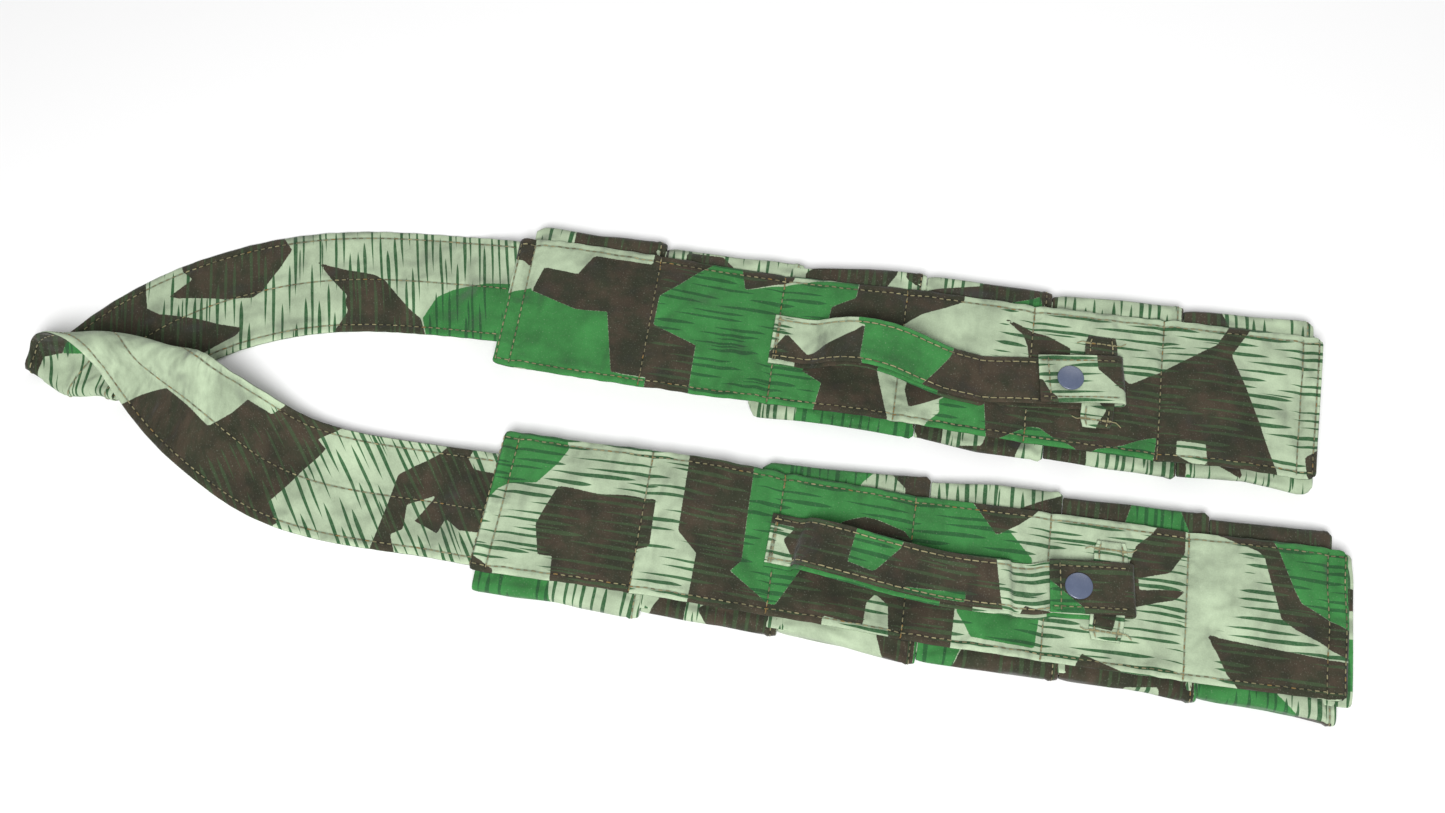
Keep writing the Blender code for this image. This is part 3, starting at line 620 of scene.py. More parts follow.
def thread_material(name):
    """Ochre cotton thread, twisted, each stitch a little different. The bar tacks' tint is the lowest."""
    n = Nodes(name)
    tint = n.attribute("tint")
    place = n.place()
    tan = n.mix(tint, (0.072, 0.064, 0.024, 1.0), (0.335, 0.300, 0.150, 1.0))
    colour = n.mix(n.step(tint, 0.02, 0.08), (0.215, 0.128, 0.026, 1.0), tan)
    twist = n.node("ShaderNodeTexWave", {"Vector": place, "Scale": 1400.0}, bands_direction="DIAGONAL")
    return n.finished({
        "Base Color": n.shaded(colour, n.scaled(n.noise(place, 900.0, 2.0), 0.5, 0.75)),
        "Roughness": 0.75,
        "Normal": n.bump(twist.outputs["Fac"], 0.6, 0.00012),
        "Sheen Weight": 0.2,
    })


def cap_material(name):
    """Blue-grey satin paint with faint scuffs."""
    n = Nodes(name)
    place = n.place()
    blotch = n.noise(place, 260.0, 3.0)
    scuff = n.step(n.noise(place, 1500.0, 4.0, 0.7), 0.62, 0.70)
    paint = n.mix(blotch, (0.074, 0.094, 0.152, 1.0), (0.098, 0.122, 0.190, 1.0))
    return n.finished({
        "Base Color": n.mix(n.times(scuff, 0.25), paint, (0.42, 0.44, 0.48, 1.0)),
        "Roughness": n.scaled(blotch, 0.16, 0.24),
        "Normal": n.bump(n.noise(place, 700.0, 3.0), 0.15, 0.00008),
        "Coat Weight": 0.35,
        "Coat Roughness": 0.25,
    })


def steel_material(name):
    """Plated steel stud post, dull in patches."""
    n = Nodes(name)
    place = n.place()
    dull = n.noise(place, 420.0, 4.0, 0.6)
    return n.finished({
        "Base Color": n.mix(dull, (0.42, 0.42, 0.40, 1.0), (0.66, 0.65, 0.62, 1.0)),
        "Roughness": n.scaled(dull, 0.3, 0.22),
        "Normal": n.bump(n.noise(place, 2600.0, 2.0), 0.12, 0.00005),
        "Metallic": 1.0,
    })


CLOTH_MATERIAL = cloth_material("printed_cloth")
THREAD_MATERIAL = thread_material("thread")
CAP_MATERIAL = cap_material("painted_cap")
STEEL_MATERIAL = steel_material("plated_steel")


# ---------------------------------------------------------------- cloth

SEAM_REACH = 9.0
HEM_WEAR = 1.6
RIM_THICKNESS = 0.35
# Each kind of cloth piece takes its own part of the noise, by number.
PATCH = {"panel": 1, "flap": 5, "pouch": 15, "belt": 31, "tab": 33, "under_ply": 35, "keeper": 37,
         "lining": 39, "neck": 51}


class Sheet:
    """A grid of points over a piece of cloth: along and across are its own coordinates in millimetres."""

    def __init__(self, along, across, points):
        self.along = np.asarray(along, float)
        self.across = np.asarray(across, float)
        self.points = np.asarray(points, float)
        self.seams = []
        self.find_normals()

    def find_normals(self):
        """Unit normals from the differences between neighbouring points."""
        da = np.gradient(self.points, self.along, axis=0)
        db = np.gradient(self.points, self.across, axis=1)
        normals = np.cross(da, db)
        self.normals = normals / (np.linalg.norm(normals, axis=2, keepdims=True) + 1e-12)

    def push(self, height):
        """Moves each point along its normal."""
        self.points = self.points + self.normals * height[..., None]
        self.find_normals()

    def seam_distance(self):
        """Distance of each point from the nearest stitched line, as far as it matters."""
        a, b = grid(self.along, self.across)
        nearest = np.full(a.shape, SEAM_REACH)
        for (a0, b0), (a1, b1) in self.seams:
            da, db = a1 - a0, b1 - b0
            share = np.clip(((a - a0) * da + (b - b0) * db) / (da * da + db * db), 0.0, 1.0)
            nearest = np.minimum(nearest, np.hypot(a - a0 - share * da, b - b0 - share * db))
        return nearest

    def at(self, along, across, height=0.0):
        """Points and normals at places in the cloth's own coordinates, height above its middle."""
        i = np.clip(np.searchsorted(self.along, along) - 1, 0, len(self.along) - 2)
        j = np.clip(np.searchsorted(self.across, across) - 1, 0, len(self.across) - 2)
        fi = np.clip((along - self.along[i]) / (self.along[i + 1] - self.along[i]), 0.0, 1.0)[:, None]
        fj = np.clip((across - self.across[j]) / (self.across[j + 1] - self.across[j]), 0.0, 1.0)[:, None]

        def blended(values):
            near = values[i, j] * (1 - fi) + values[i + 1, j] * fi
            far = values[i, j + 1] * (1 - fi) + values[i + 1, j + 1] * fi
            return near * (1 - fj) + far * fj

        normals = blended(self.normals)
        normals /= np.linalg.norm(normals, axis=1, keepdims=True)
        return blended(self.points) + normals * height, normals


def sew(sheet, threads, lines, height, depth=0.28, side=1.0, **look):
    """Sinks a groove along each line of a sheet and lays its stitches in it."""
    sheet.seams = list(lines)
    groove = ridge(sheet.seam_distance(), 0.9)
    sheet.seams = []
    sheet.push(-side * depth * groove)
    for start, end in lines:
        threads.line(sheet, start, end, side * height, side=side, **look)


def stations(start, end, spacing, lines=(), edge=0.5):
    """Evenly spaced places, closer at the two ends and round each stitched line, so that both keep shape."""
    count = max(2, round((end - start - 2.0 * edge) / spacing))
    places = np.concatenate([[start], np.linspace(start + edge, end - edge, count + 1), [end]])
    for line in lines:
        places = places[(np.abs(places - line) > 1.7) | (places == start) | (places == end)]
        places = np.concatenate([places, [line - 1.2, line, line + 1.2]])
    places = np.sort(places)
    keep = np.concatenate([[True], np.diff(places) > 0.2])
    return places[keep & (places >= start) & (places <= end)]


def finish_mesh(name, verts, faces, material, attributes=()):
    """An object from points in millimetres, smooth shaded, with point attributes."""
    mesh = bpy.data.meshes.new(name)
    mesh.from_pydata((np.asarray(verts) * MM).tolist(), [], faces)
    mesh.polygons.foreach_set("use_smooth", np.ones(len(mesh.polygons), bool))
    for key, values in dict(attributes).items():
        values = np.asarray(values, np.float32)
        kind = "FLOAT_VECTOR" if values.ndim == 2 else "FLOAT"
        layer = mesh.attributes.new(key, kind, "POINT")
        layer.data.foreach_set("vector" if values.ndim == 2 else "value", values.ravel())
    mesh.materials.append(material)
    mesh.update()
    obj = bpy.data.objects.new(name, mesh)
    bpy.context.scene.collection.objects.link(obj)
    return obj


def grid_faces(rows, columns, first=0, flip=False):
    """Quads over a grid of points, numbered from first."""
    index = first + np.arange(rows * columns).reshape(rows, columns)
    quads = np.stack([index[:-1, :-1], index[1:, :-1], index[1:, 1:], index[:-1, 1:]], -1).reshape(-1, 4)
    return quads[:, ::-1] if flip else quads


def cloth_piece(name, sheet, thickness, fields, streaks, number, under=None, under_streaks=None):
    """A closed piece of cloth round a sheet: two faces and a rounded rim.

    fields are the painted areas, streaks the (along, across) coordinates of the print's strokes, and under
    and under_streaks those of the other face where they differ. number sets its patches apart from the
    other pieces'."""
    rows, columns = sheet.points.shape[:2]
    swell = np.ones((rows, columns))
    swell[[0, -1], :] = RIM_THICKNESS
    swell[:, [0, -1]] = RIM_THICKNESS
    offset = sheet.normals * (thickness / 2.0 * swell)[..., None]
    verts = np.concatenate([(sheet.points + offset).reshape(-1, 3), (sheet.points - offset).reshape(-1, 3)])
    count = rows * columns
    index = np.arange(count).reshape(rows, columns)
    ring = np.concatenate([index[0, :-1], index[:-1, -1], index[-1, :0:-1], index[:0:-1, 0]])
    after = np.roll(ring, -1)
    rim = np.stack([ring, after, after + count, ring + count], -1)
    faces = np.concatenate([grid_faces(rows, columns), grid_faces(rows, columns, count, True), rim])
    a, b = grid(sheet.along, sheet.across)
    edge = np.minimum.reduce([a - a.min(), a.max() - a, b - b.min(), b.max() - b])
    wear = ridge(edge, HEM_WEAR)
    along, across = streaks
    apart = np.full(count, number * 41.7)
    cloth = np.stack([along.ravel(), across.ravel(), apart], -1)
    along, across = streaks if under_streaks is None else under_streaks
    back = np.stack([along.ravel(), across.ravel(), apart + 13.0], -1)
    other = fields if under is None else under
    attributes = {
        "cloth": np.concatenate([cloth, back]),
        "wear": np.concatenate([wear.ravel(), wear.ravel()]),
        "seam": np.tile(sheet.seam_distance().ravel(), 2),
    }
    for key in ("brown", "green", "plain"):
        attributes[key] = np.concatenate([fields[key].ravel(), other[key].ravel()])
    return finish_mesh(name, verts, faces.tolist(), CLOTH_MATERIAL, attributes)


# ---------------------------------------------------------------- stitching


# A stitch from end to end: where along it, how high over the cloth and how wide.
STITCH_PLACES = np.array([0.0, 0.12, 0.5, 0.88, 1.0])
STITCH_HEIGHTS = np.array([-0.34, 0.06, 0.14, 0.06, -0.34])
STITCH_WIDTHS = np.array([0.6, 0.95, 1.0, 0.95, 0.6])


class Threads:
    """Collects stitches and loose threads that ride on one body, and makes one piece of them."""

    RING = 6
    FLATNESS = 0.75

    def __init__(self, seed):
        self.random = np.random.default_rng(seed)
        self.verts, self.faces, self.tints, self.count = [], [], [], 0

    def add_tubes(self, centres, normals, radii, tints):
        """centres, normals: (tubes, points, 3); radii: (points,), wider than high."""
        tubes, steps = centres.shape[:2]
        along = np.gradient(centres, axis=1)
        along /= np.linalg.norm(along, axis=2, keepdims=True) + 1e-12
        side = np.cross(along, normals)
        side /= np.linalg.norm(side, axis=2, keepdims=True) + 1e-12
        up = np.cross(side, along)
        angle = np.arange(self.RING) * 2.0 * math.pi / self.RING
        wide = side[:, :, None, :] * np.cos(angle)[None, None, :, None]
        high = up[:, :, None, :] * np.sin(angle)[None, None, :, None] * self.FLATNESS
        ring = centres[:, :, None, :] + (wide + high) * np.asarray(radii)[None, :, None, None]
        index = self.count + np.arange(tubes * steps * self.RING).reshape(tubes, steps, self.RING)
        near, far = index[:, :-1], index[:, 1:]
        quads = np.stack([near, np.roll(near, -1, 2), np.roll(far, -1, 2), far], -1).reshape(-1, 4)
        self.faces += quads.tolist()
        self.faces += index[:, 0, ::-1].tolist() + index[:, -1].tolist()
        self.verts.append(ring.reshape(-1, 3))
        self.tints.append(np.repeat(tints, steps * self.RING))
        self.count += tubes * steps * self.RING

    def line(self, sheet, start, end, height, side=1.0, pitch=3.9, share=0.64, tint=0.42, width=0.35):
        """A row of stitches on a sheet, between two places in its own coordinates."""
        sheet.seams.append((start, end))
        start, end = np.asarray(start, float), np.asarray(end, float)
        fine = np.linspace(0.0, 1.0, 200)
        path, _ = sheet.at(start[0] + (end[0] - start[0]) * fine, start[1] + (end[1] - start[1]) * fine)
        travelled = travelled_along(path)
        count = max(1, int(travelled[-1] / pitch))
        first = (np.arange(count) + 0.12) * travelled[-1] / count
        where = first[:, None] + STITCH_PLACES[None, :] * share * travelled[-1] / count
        where += self.random.normal(0.0, 0.06, (count, 1))
        part = np.interp(where, travelled, fine)
        across = np.asarray([end[1] - start[1], start[0] - end[0]])
        across = across / (np.linalg.norm(across) + 1e-9)
        wander = self.random.normal(0.0, 0.07, (count, 2))
        drift = wander[:, :1] + (wander[:, 1:] - wander[:, :1]) * STITCH_PLACES[None, :]
        along = start[0] + (end[0] - start[0]) * part + across[0] * drift
        sideways = start[1] + (end[1] - start[1]) * part + across[1] * drift
        rise = height + side * STITCH_HEIGHTS
        centres, normals = sheet.at(along.ravel(), sideways.ravel())
        normals = normals.reshape(count, -1, 3)
        centres = centres.reshape(count, -1, 3) + normals * rise[None, :, None]
        tints = np.clip(tint + self.random.normal(0.0, 0.24, count), 0.0, 1.0)
        self.add_tubes(centres, normals, width * STITCH_WIDTHS, tints)

    def loose(self, points, tint=0.7, width=0.26):
        """A free end of thread through points in space, smoothed."""
        path = spline(points, 8)
        normals = np.zeros_like(path)
        normals[:, 2] = 1.0
        normals[:, 0] = 0.2
        self.add_tubes(path[None], normals[None], np.full(len(path), width), np.array([tint]))

    def piece(self, name, body):
        """Makes the piece, which rides on the body."""
        tints = {"tint": np.concatenate(self.tints)}
        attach(finish_mesh(name, np.concatenate(self.verts), self.faces, THREAD_MATERIAL, tints), body)


# ---------------------------------------------------------------- back panels


def rounded_corners(u, y, radius):
    """Pulls a rectangle's corners in to quarter circles; u and y are grids from edge to edge."""
    u_mid, u_half = (u.max() + u.min()) / 2.0, (u.max() - u.min()) / 2.0
    y_mid, y_half = (y.max() + y.min()) / 2.0, (y.max() - y.min()) / 2.0
    du = np.maximum(np.abs(u - u_mid) - (u_half - radius), 0.0)
    dy = np.maximum(np.abs(y - y_mid) - (y_half - radius), 0.0)
    scale = np.maximum(du, dy) / (np.hypot(du, dy) + 1e-9)
    new_u = u - np.sign(u - u_mid) * du * (1.0 - scale)
    new_y = y - np.sign(y - y_mid) * dy * (1.0 - scale)
    return new_u, new_y


def panel_height(side, leg, u, y):
    """Middle of the panel's cloth: a dip at each cross seam, soft swells and puckers between."""
    seams = [0.0] + list(leg["seams"]) + [LEG_LENGTH]
    seed = leg["seeds"]["panel"]
    z = np.full(u.shape, PANEL_TOP - CLOTH / 2.0 - 0.7)
    swell = np.zeros(u.shape)
    for first, last in zip(seams[:-1], seams[1:]):
        share = np.clip((u - first) / (last - first), 0.0, 1.0)
        swell += (4.0 * share * (1.0 - share)) ** 0.6 * (1.0 - np.abs(y / PANEL_HALF) ** 4)
    z += 1.2 * swell
    for seam in seams:
        z -= 0.9 * ridge(u - seam, 3.4)
        folds = np.sin(2.0 * math.pi * (y + 8.0 * noise(seed + 1, u, y, 21.0)) / 12.0)
        z += 0.45 * folds * ridge(u - seam, 7.0) * (1.0 - 0.6 * ridge(u - seam, 1.6))
    edge = PANEL_HALF - np.abs(y)
    z += 0.30 * ease((5.2 - edge) / 1.6)
    ripple = np.sin(2.0 * math.pi * (u + 7.0 * noise(seed + 2, u, y, 34.0)) / 13.0)
    z += 0.40 * ripple * ridge(edge - 2.0, 5.0)
    z += 1.3 * noise(seed + 3, u, y, 44.0) + 0.75 * noise(seed + 4, u, y * 0.6, 15.0)
    z += 0.20 * noise(seed + 5, u, y, 7.0)
    z += 0.50 * noise(seed + 6, u * 0.35, y, 12.0) * (1.0 - ridge(edge, 8.0))
    z += pulled_creases(u, y, leg)
    if side == "leg2":
        z += end_creases(u, y)
    z += (PANEL_TOP - CLOTH / 2.0 - 0.2 - z) * 0.85 * under_belt(u, y)
    floor = HOOD_CLEAR + seam_dip(leg, u)
    return floor + 0.25 * np.logaddexp(0.0, (z - floor) / 0.25)


def panel_plan(leg, u, y):
    """Where the panel's points lie in plan, with its rounded corners and its drawn-out edges."""
    flat_u, flat_y = rounded_corners(u, y, 3.4)
    corner = np.hypot(np.maximum(u - 424.0, 0.0), np.maximum(np.abs(y) - 35.5, 0.0))
    flat_u = flat_u - 0.5 * np.maximum(corner - 5.0, 0.0)
    flat_y = flat_y - np.sign(y) * 0.5 * np.maximum(corner - 5.0, 0.0)
    share = (flat_y + PANEL_HALF) / (2.0 * PANEL_HALF)
    flat_y = curve(flat_u, leg["near"]) * (1.0 - share) + curve(flat_u, leg["far"]) * share
    first_lean, last_lean = leg["lean"]
    lean = first_lean * ease((22.0 - u) / 28.0) + last_lean * ease((u - 395.0) / 30.0)
    flat_u = flat_u - (1.0 - share) * lean
    seed = leg["seeds"]["panel"] + 8
    flat_u = flat_u + (1.5 + 0.5 * noise(seed, u * 0.1, y, 26.0)) * ease((u - 380.0) / 40.0)
    return flat_u, flat_y


def pulled_creases(u, y, leg):
    """Creases that run from the belt strap's sewn end to the inner edge, where the stitching pulls."""
    towards = -leg["out"] * y
    along = u - 128.0 - 0.45 * (towards - 10.0)
    wave = np.sin(2.0 * math.pi * (along + 0.3 * towards) / 12.5)
    return 0.8 * wave * ridge(along + 8.0, 17.0) * ease((towards + 6.0) / 20.0)


def end_creases(u, y):
    """Two slanting creases where the near leg's last pouch lies slack."""
    first = (y + 3.0) - 0.42 * (u - 364.0)
    second = (y + 17.0) - 0.75 * (u - 362.0)
    creases = 1.5 * ridge(first, 2.4) * ridge(u - 366.0, 12.0)
    return creases + 1.3 * ridge(second, 2.2) * ridge(u - 362.0, 9.0)


def seam_dip(leg, u):
    """How far the stitching of the cross seams pulls every layer down."""
    depth = np.zeros(np.shape(u))
    for seam in (0.0, *leg["seams"], LEG_LENGTH):
        depth = np.minimum(depth, -1.1 * ridge(u - seam, 3.4))
    return depth


def under_belt(u, y):
    """1 where the belt strap lies flat on the panel."""
    near_start = ease((u - 130.0) / 5.0) * ease((156.0 - u) / 6.0)
    near_end = ease((u - 252.0) / 8.0) * ease((336.0 - u) / 6.0)
    return ease((19.0 - np.abs(y + 3.0)) / 4.0) * (near_start + near_end)


def leg2_bow(u):
    """The near leg lies very slightly bowed away from the other one's direction."""
    return -2.6 * ease((u - 40.0) / 260.0)


def add_panel(side, leg, threads):
    """The back panel, hemmed and stitched across; its second seam stops short at the belt strap."""
    cross = leg["left_lines"] + leg["seams"] + leg["right_lines"]
    along = stations(-PANEL_HEM, PANEL_END, 1.6, cross)
    across = stations(-PANEL_HALF, PANEL_HALF, 1.6, (-PANEL_STITCH, PANEL_STITCH))
    u, y = grid(along, across)
    flat_u, flat_y = panel_plan(leg, u, y)
    points = np.stack([leg["x"] + flat_u, leg["y"] + flat_y, panel_height(side, leg, u, y)], -1)
    sheet = Sheet(along, across, points)
    lines = [((-8.0, end * PANEL_STITCH), (428.0, end * PANEL_STITCH)) for end in ENDS]
    lines += [((line, -38.5), (line, 38.5)) for line in leg["left_lines"] + leg["right_lines"]]
    for line in leg["seams"]:
        if line == leg["seams"][1]:
            lines += [((line, -40.0), (line, -15.5)), ((line, 14.0), (line, 40.0))]
        else:
            lines.append(((line, -40.0), (line, 40.0)))
    sew(sheet, threads, lines, CLOTH / 2.0)
    for line in leg["seams"]:
        for end in ENDS:
            tack = (line + 0.3, end * 32.0), (line - 0.2, end * 40.4)
            threads.line(sheet, *tack, CLOTH / 2.0, pitch=1.7, tint=0.0)
    fields = painted(PANEL_PRINT[side], flat_u, flat_y)
    piece = cloth_piece(side + "_panel_cloth", sheet, CLOTH, fields, (u, y), PATCH["panel"])
    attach(piece, side)
    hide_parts(side + "_back_panel")


# ---------------------------------------------------------------- pouches and flaps

FLAP_THICK = 1.1
FLAP_LOW = 2.35
FLAP_TOP = 11.25
POUCH_HIGH = 10.1
HOOD_CLEAR = 12.5
POUCH_LOW = 6.15
POUCH_WALL = 0.9
FLAP_FREE_EDGE = -28.0
FLAP_FOLD = 51.0
POUCH_FOLD = -48.0
POUCH_OPENING = 45.0
HOOD_START = 31.0
STUD_V = -16.0


def span(leg, ends, number):
    """A pouch or flap runs from the hem of the one before it to its own, a little past its seam."""
    start = leg["flap_start"] if number == 0 else leg[ends][number - 1] + 0.5
    return start, leg[ends][number]


def reach_between(knots, u, start, end):
    """How far a fold reaches along its length, from its values at the start, the middle and the end."""
    share = (u - start) / (end - start)
    return np.interp(share, (0.04, 0.5, 0.92), knots)


def stud_u(number):
    """Where along the leg a pouch's press stud sits."""
    return (number + 0.5) * SEAM_PITCH + 0.5 * HEM_PAST_SEAM


def section_path(corners, radii, spacing):
    """A line through (v, z) corners with rounded bends, as evenly spaced points and their distances."""
    points = [np.asarray(corners[0], float)]
    for before, corner, after, radius in zip(corners[:-2], corners[1:-1], corners[2:], radii):
        before, corner, after = (np.asarray(p, float) for p in (before, corner, after))
        first = (before - corner) / np.linalg.norm(before - corner)
        last = (after - corner) / np.linalg.norm(after - corner)
        for share in np.linspace(0.0, 1.0, 13):
            p, q = corner + first * radius * (1.0 - share), corner + last * radius * share
            points.append(p * (1.0 - share) + q * share)
    points.append(np.asarray(corners[-1], float))
    points = np.array(points)
    travelled = travelled_along(points)
    keep = np.concatenate([[True], np.diff(travelled) > 1e-6])
    points, travelled = points[keep], travelled[keep]
    where = stations(0.0, travelled[-1], spacing)
    return where, np.interp(where, travelled, points[:, 0]), np.interp(where, travelled, points[:, 1])


def bent_ends(u, start, end):
    """1 in the middle of a pouch, less where its ends are sewn flat."""
    return 1.0 - 0.34 * ridge(u - start, 4.5) - 0.30 * ease((u - end + 7.5) / 3.0)


def leg_points(side, leg, u, v, z):
    """Points of a leg in space; v runs from its middle towards the pouches' openings."""
    y = leg["out"] * v
    if side == "leg2":
        y = y + leg2_bow(u)
    return np.stack([leg["x"] + u, leg["y"] + y, z], -1)


def add_flap(side, leg, number, threads):
    """Hood and flap in one: from under the panel, out past the mouth, down round the edge and under."""
    start, end = span(leg, "flap_ends", number)
    hem = end - 3.1
    along = stations(start, end, 1.8, (hem,))
    hood = ((HOOD_START, FLAP_TOP), (FLAP_FOLD, FLAP_TOP))
    under = ((FLAP_FOLD, FLAP_LOW), (FLAP_FREE_EDGE, FLAP_LOW))
    across, v_line, z_line = section_path(hood + under, (3.6, 4.6), 1.8)
    u, w = grid(along, across)
    v, z = grid(along, v_line)[1], grid(along, z_line)[1]
    reach = reach_between(leg["outer"][number], u, start, end)
    reach += 0.9 * ease((u - end + 6.0) / 1.5) + 0.4 * noise(60 + number, u, v * 0.1, 18.0)
    last = leg["last_corner"][0] if number == POUCHES - 1 else 1.3
    first = 2.2 if number == 0 and side == "leg1" else 0.5
    reach -= first * ridge(u - start, 2.4) + last * ridge(u - end, 2.6)
    v = v + (reach - FLAP_FOLD) * ease((v - 20.0) / 26.0)
    middle = (FLAP_TOP + FLAP_LOW) / 2.0
    z = middle + (z - middle) * bent_ends(u, start, end) * (0.97 + 0.06 * noise(70 + number, u, w, 24.0))
    z = np.where(z < middle, z + (FLAP_LOW - z.min()) * ease((middle - z) / 3.0), z)
    z += seam_dip(leg, u) * ease((z - middle) / 2.0) * ease((54.0 - v) / 12.0)
    seed = 100 + number + leg["seeds"]["folds"]
    sheet = Sheet(along, across, leg_points(side, leg, u, v, z))
    bumps = 0.28 * noise(seed, u, w, 16.0) + 0.10 * noise(seed + 1, u, w, 6.0)
    puckers = np.sin(2.0 * math.pi * (w + 4.0 * noise(seed + 2, u, w, 15.0)) / 9.0)
    sheet.push(leg["out"] * (bumps + 0.2 * puckers * ridge(u - hem, 5.0)))
    line = (hem, 8.0), (hem, across[-1] - 16.0)
    sew(sheet, threads, [line], FLAP_THICK / 2.0, side=leg["out"], pitch=3.4)
    past = w + HOOD_START - PANEL_HALF
    fields = painted(OUTER_PRINT[side], u, past)
    name = side + "_flap_cloth_%d" % (number + 1)
    patch = PATCH["flap"] + number
    piece = cloth_piece(name, sheet, FLAP_THICK, fields, (leg["out"] * w, u), patch)
    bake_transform(piece)
    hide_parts(side + "_flap_%d" % (number + 1))


def add_pouch(side, leg, number):
    """Pouch bag: back wall, fold at the inner edge, front wall; its two ends are sewn flat."""
    start, end = span(leg, "pouch_ends", number)
    along = stations(start, end, 1.8)
    back = ((POUCH_OPENING, POUCH_HIGH), (POUCH_FOLD, POUCH_HIGH))
    front = ((POUCH_FOLD, POUCH_LOW), (POUCH_OPENING, POUCH_LOW))
    across, v_line, z_line = section_path(back + front, (2.1, 2.1), 1.8)
    u, w = grid(along, across)
    v, z = grid(along, v_line)[1], grid(along, z_line)[1]
    reach = reach_between(leg["inner"][number], u, start, end)
    reach -= 1.2 * ease((u - end + 5.0) / 2.0) - 0.4 * noise(80 + number, u, v * 0.1, 18.0)
    reach += 2.2 * ridge(u - end, 1.8)
    if number == 2:
        reach += (7.0 if side == "leg1" else 3.0) * ease((start + 6.0 - u) / 6.0) ** 2
    if number == POUCHES - 1:
        reach += leg["last_corner"][1] * ridge(u - end, 4.0)
    v = v + (reach - POUCH_FOLD) * ease((-v - 22.0) / 20.0)
    middle = (POUCH_HIGH + POUCH_LOW) / 2.0
    open_share = 1.0 - 0.62 * ridge(u - start, 3.5) - 0.55 * ease((u - end + 7.0) / 3.0)
    z = middle + (z - middle) * open_share
    z += 0.8 * seam_dip(leg, u) * ease((z - middle) / 1.5)
    sheet = Sheet(along, across, leg_points(side, leg, u, v, z))
    fold = across[np.argmin(np.abs(v_line - POUCH_FOLD))]
    past = np.where(z < middle, w - fold + 7.0, -PANEL_HALF - v)
    fields = painted(INNER_PRINT[side], u, past)
    name = side + "_pouch_cloth_%d" % (number + 1)
    piece = cloth_piece(name, sheet, POUCH_WALL, fields, (w, u), PATCH["pouch"] + number)
    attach(piece, side)
    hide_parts(side + "_pouch_%d" % (number + 1))


LINING_ALONG = (414.0, 433.8)
LINING_ACROSS = (-44.5, 36.5)
LINING_THICK = 0.8
END_LINING_PRINT = (
    ("brown", ((420, 19), (440, 17), (440, 6), (420, 6))),
    ("green", ((420, -9), (440, -9), (440, -36), (420, -36))),
)


def add_end_lining(side, leg):
    """The turned-in end of the near leg's lining, just past the panel's end."""
    along = stations(*LINING_ALONG, 1.5)
    across = stations(*LINING_ACROSS, 1.8)
    u, y = grid(along, across)
    flat_u, flat_y = rounded_corners(u, y, 2.6)
    flat_u = flat_u - 0.9 * ease((flat_y - 20.0) / 16.0) - 0.5 * ease((-36.0 - flat_y) / 8.0)
    z = 9.9 + 0.5 * noise(91, u, y, 12.0) + 0.6 * ease((u - 426.0) / 6.0)
    points = np.stack([leg["x"] + flat_u, leg["y"] + flat_y, z], -1)
    sheet = Sheet(along, across, points)
    fields = painted(END_LINING_PRINT, flat_u, flat_y)
    piece = cloth_piece(side + "_end_lining", sheet, LINING_THICK, fields, (y, u), PATCH["lining"])
    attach(piece, side)


# ---------------------------------------------------------------- press studs


def turned_piece(name, profile, centre, material, segments=56):
    """A profile of (radius, height) turned about an upright axis, closed on the axis at both ends."""
    angle = np.arange(segments) * 2.0 * math.pi / segments
    inner = profile[1:-1]
    verts = [(centre[0], centre[1], profile[0][1])]
    for radius, height in inner:
        for a in angle:
            verts.append((centre[0] + radius * math.cos(a), centre[1] + radius * math.sin(a), height))
    verts.append((centre[0], centre[1], profile[-1][1]))
    faces = []
    last = len(verts) - 1
    for k in range(segments):
        after = (k + 1) % segments
        faces.append((0, 1 + k, 1 + after))
        for row in range(len(inner) - 1):
            base, below = 1 + row * segments, 1 + (row + 1) * segments
            faces.append((base + k, below + k, below + after, base + after))
        base = 1 + (len(inner) - 1) * segments
        faces.append((last, base + after, base + k))
    return finish_mesh(name, verts, faces, material)


def cap_curve(face, base, up):
    """Outline of a domed cap with a rolled rim, from its centre to the socket under it.

    face and base are the heights of the dome's top and of the underside, up the way it faces."""
    points = [(0.0, face), (2.4, face - up * 0.06), (4.7, face - up * 0.26), (5.9, face - up * 0.48)]
    rim_top = face - up * 0.55
    rim = abs(rim_top - base) / 2.0
    for angle in range(0, 181, 30):
        a = math.radians(angle)
        points.append((6.45 + 0.6 * math.sin(a), (rim_top + base) / 2.0 + up * rim * math.cos(a)))
    shank = ((4.0, 0.0), (2.1, 0.0), (2.1, 1.4), (5.4, 1.5))
    socket = ((5.6, 2.1), (5.3, 2.9), (3.7, 2.9), (3.6, 2.1), (0.0, 2.1))
    return points + [(radius, base - up * drop) for radius, drop in shank + socket]


def add_pouch_stud(side, leg, number):
    """Stud post on the pouch front, facing down into the flap's cap."""
    centre = (leg["x"] + stud_u(number), leg["y"] + leg["out"] * STUD_V)
    low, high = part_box(side + "_pouch_stud_%d" % (number + 1))
    low, high = low[2] / MM, high[2] / MM
    post = ((0.0, low), (2.2, low), (2.7, low + 0.5), (2.2, low + 1.1), (2.3, high - 1.0),
            (4.8, high - 0.8), (5.0, high - 0.4), (4.8, high), (0.0, high))
    made = turned_piece(side + "_pouch_post_%d" % (number + 1), post, centre, STEEL_MATERIAL, 40)
    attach(made, side)
    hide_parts(side + "_pouch_stud_%d" % (number + 1))


def add_flap_stud(side, leg, number):
    """Cap and socket on the flap's outside, which faces down."""
    centre = (leg["x"] + stud_u(number), leg["y"] + leg["out"] * STUD_V)
    name = side + "_flap_cap_%d" % (number + 1)
    made = turned_piece(name, cap_curve(0.02, 1.5, -1.0), centre, CAP_MATERIAL)
    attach(made, side + "_flap_body_%d" % (number + 1))
    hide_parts(side + "_flap_stud_%d" % (number + 1))


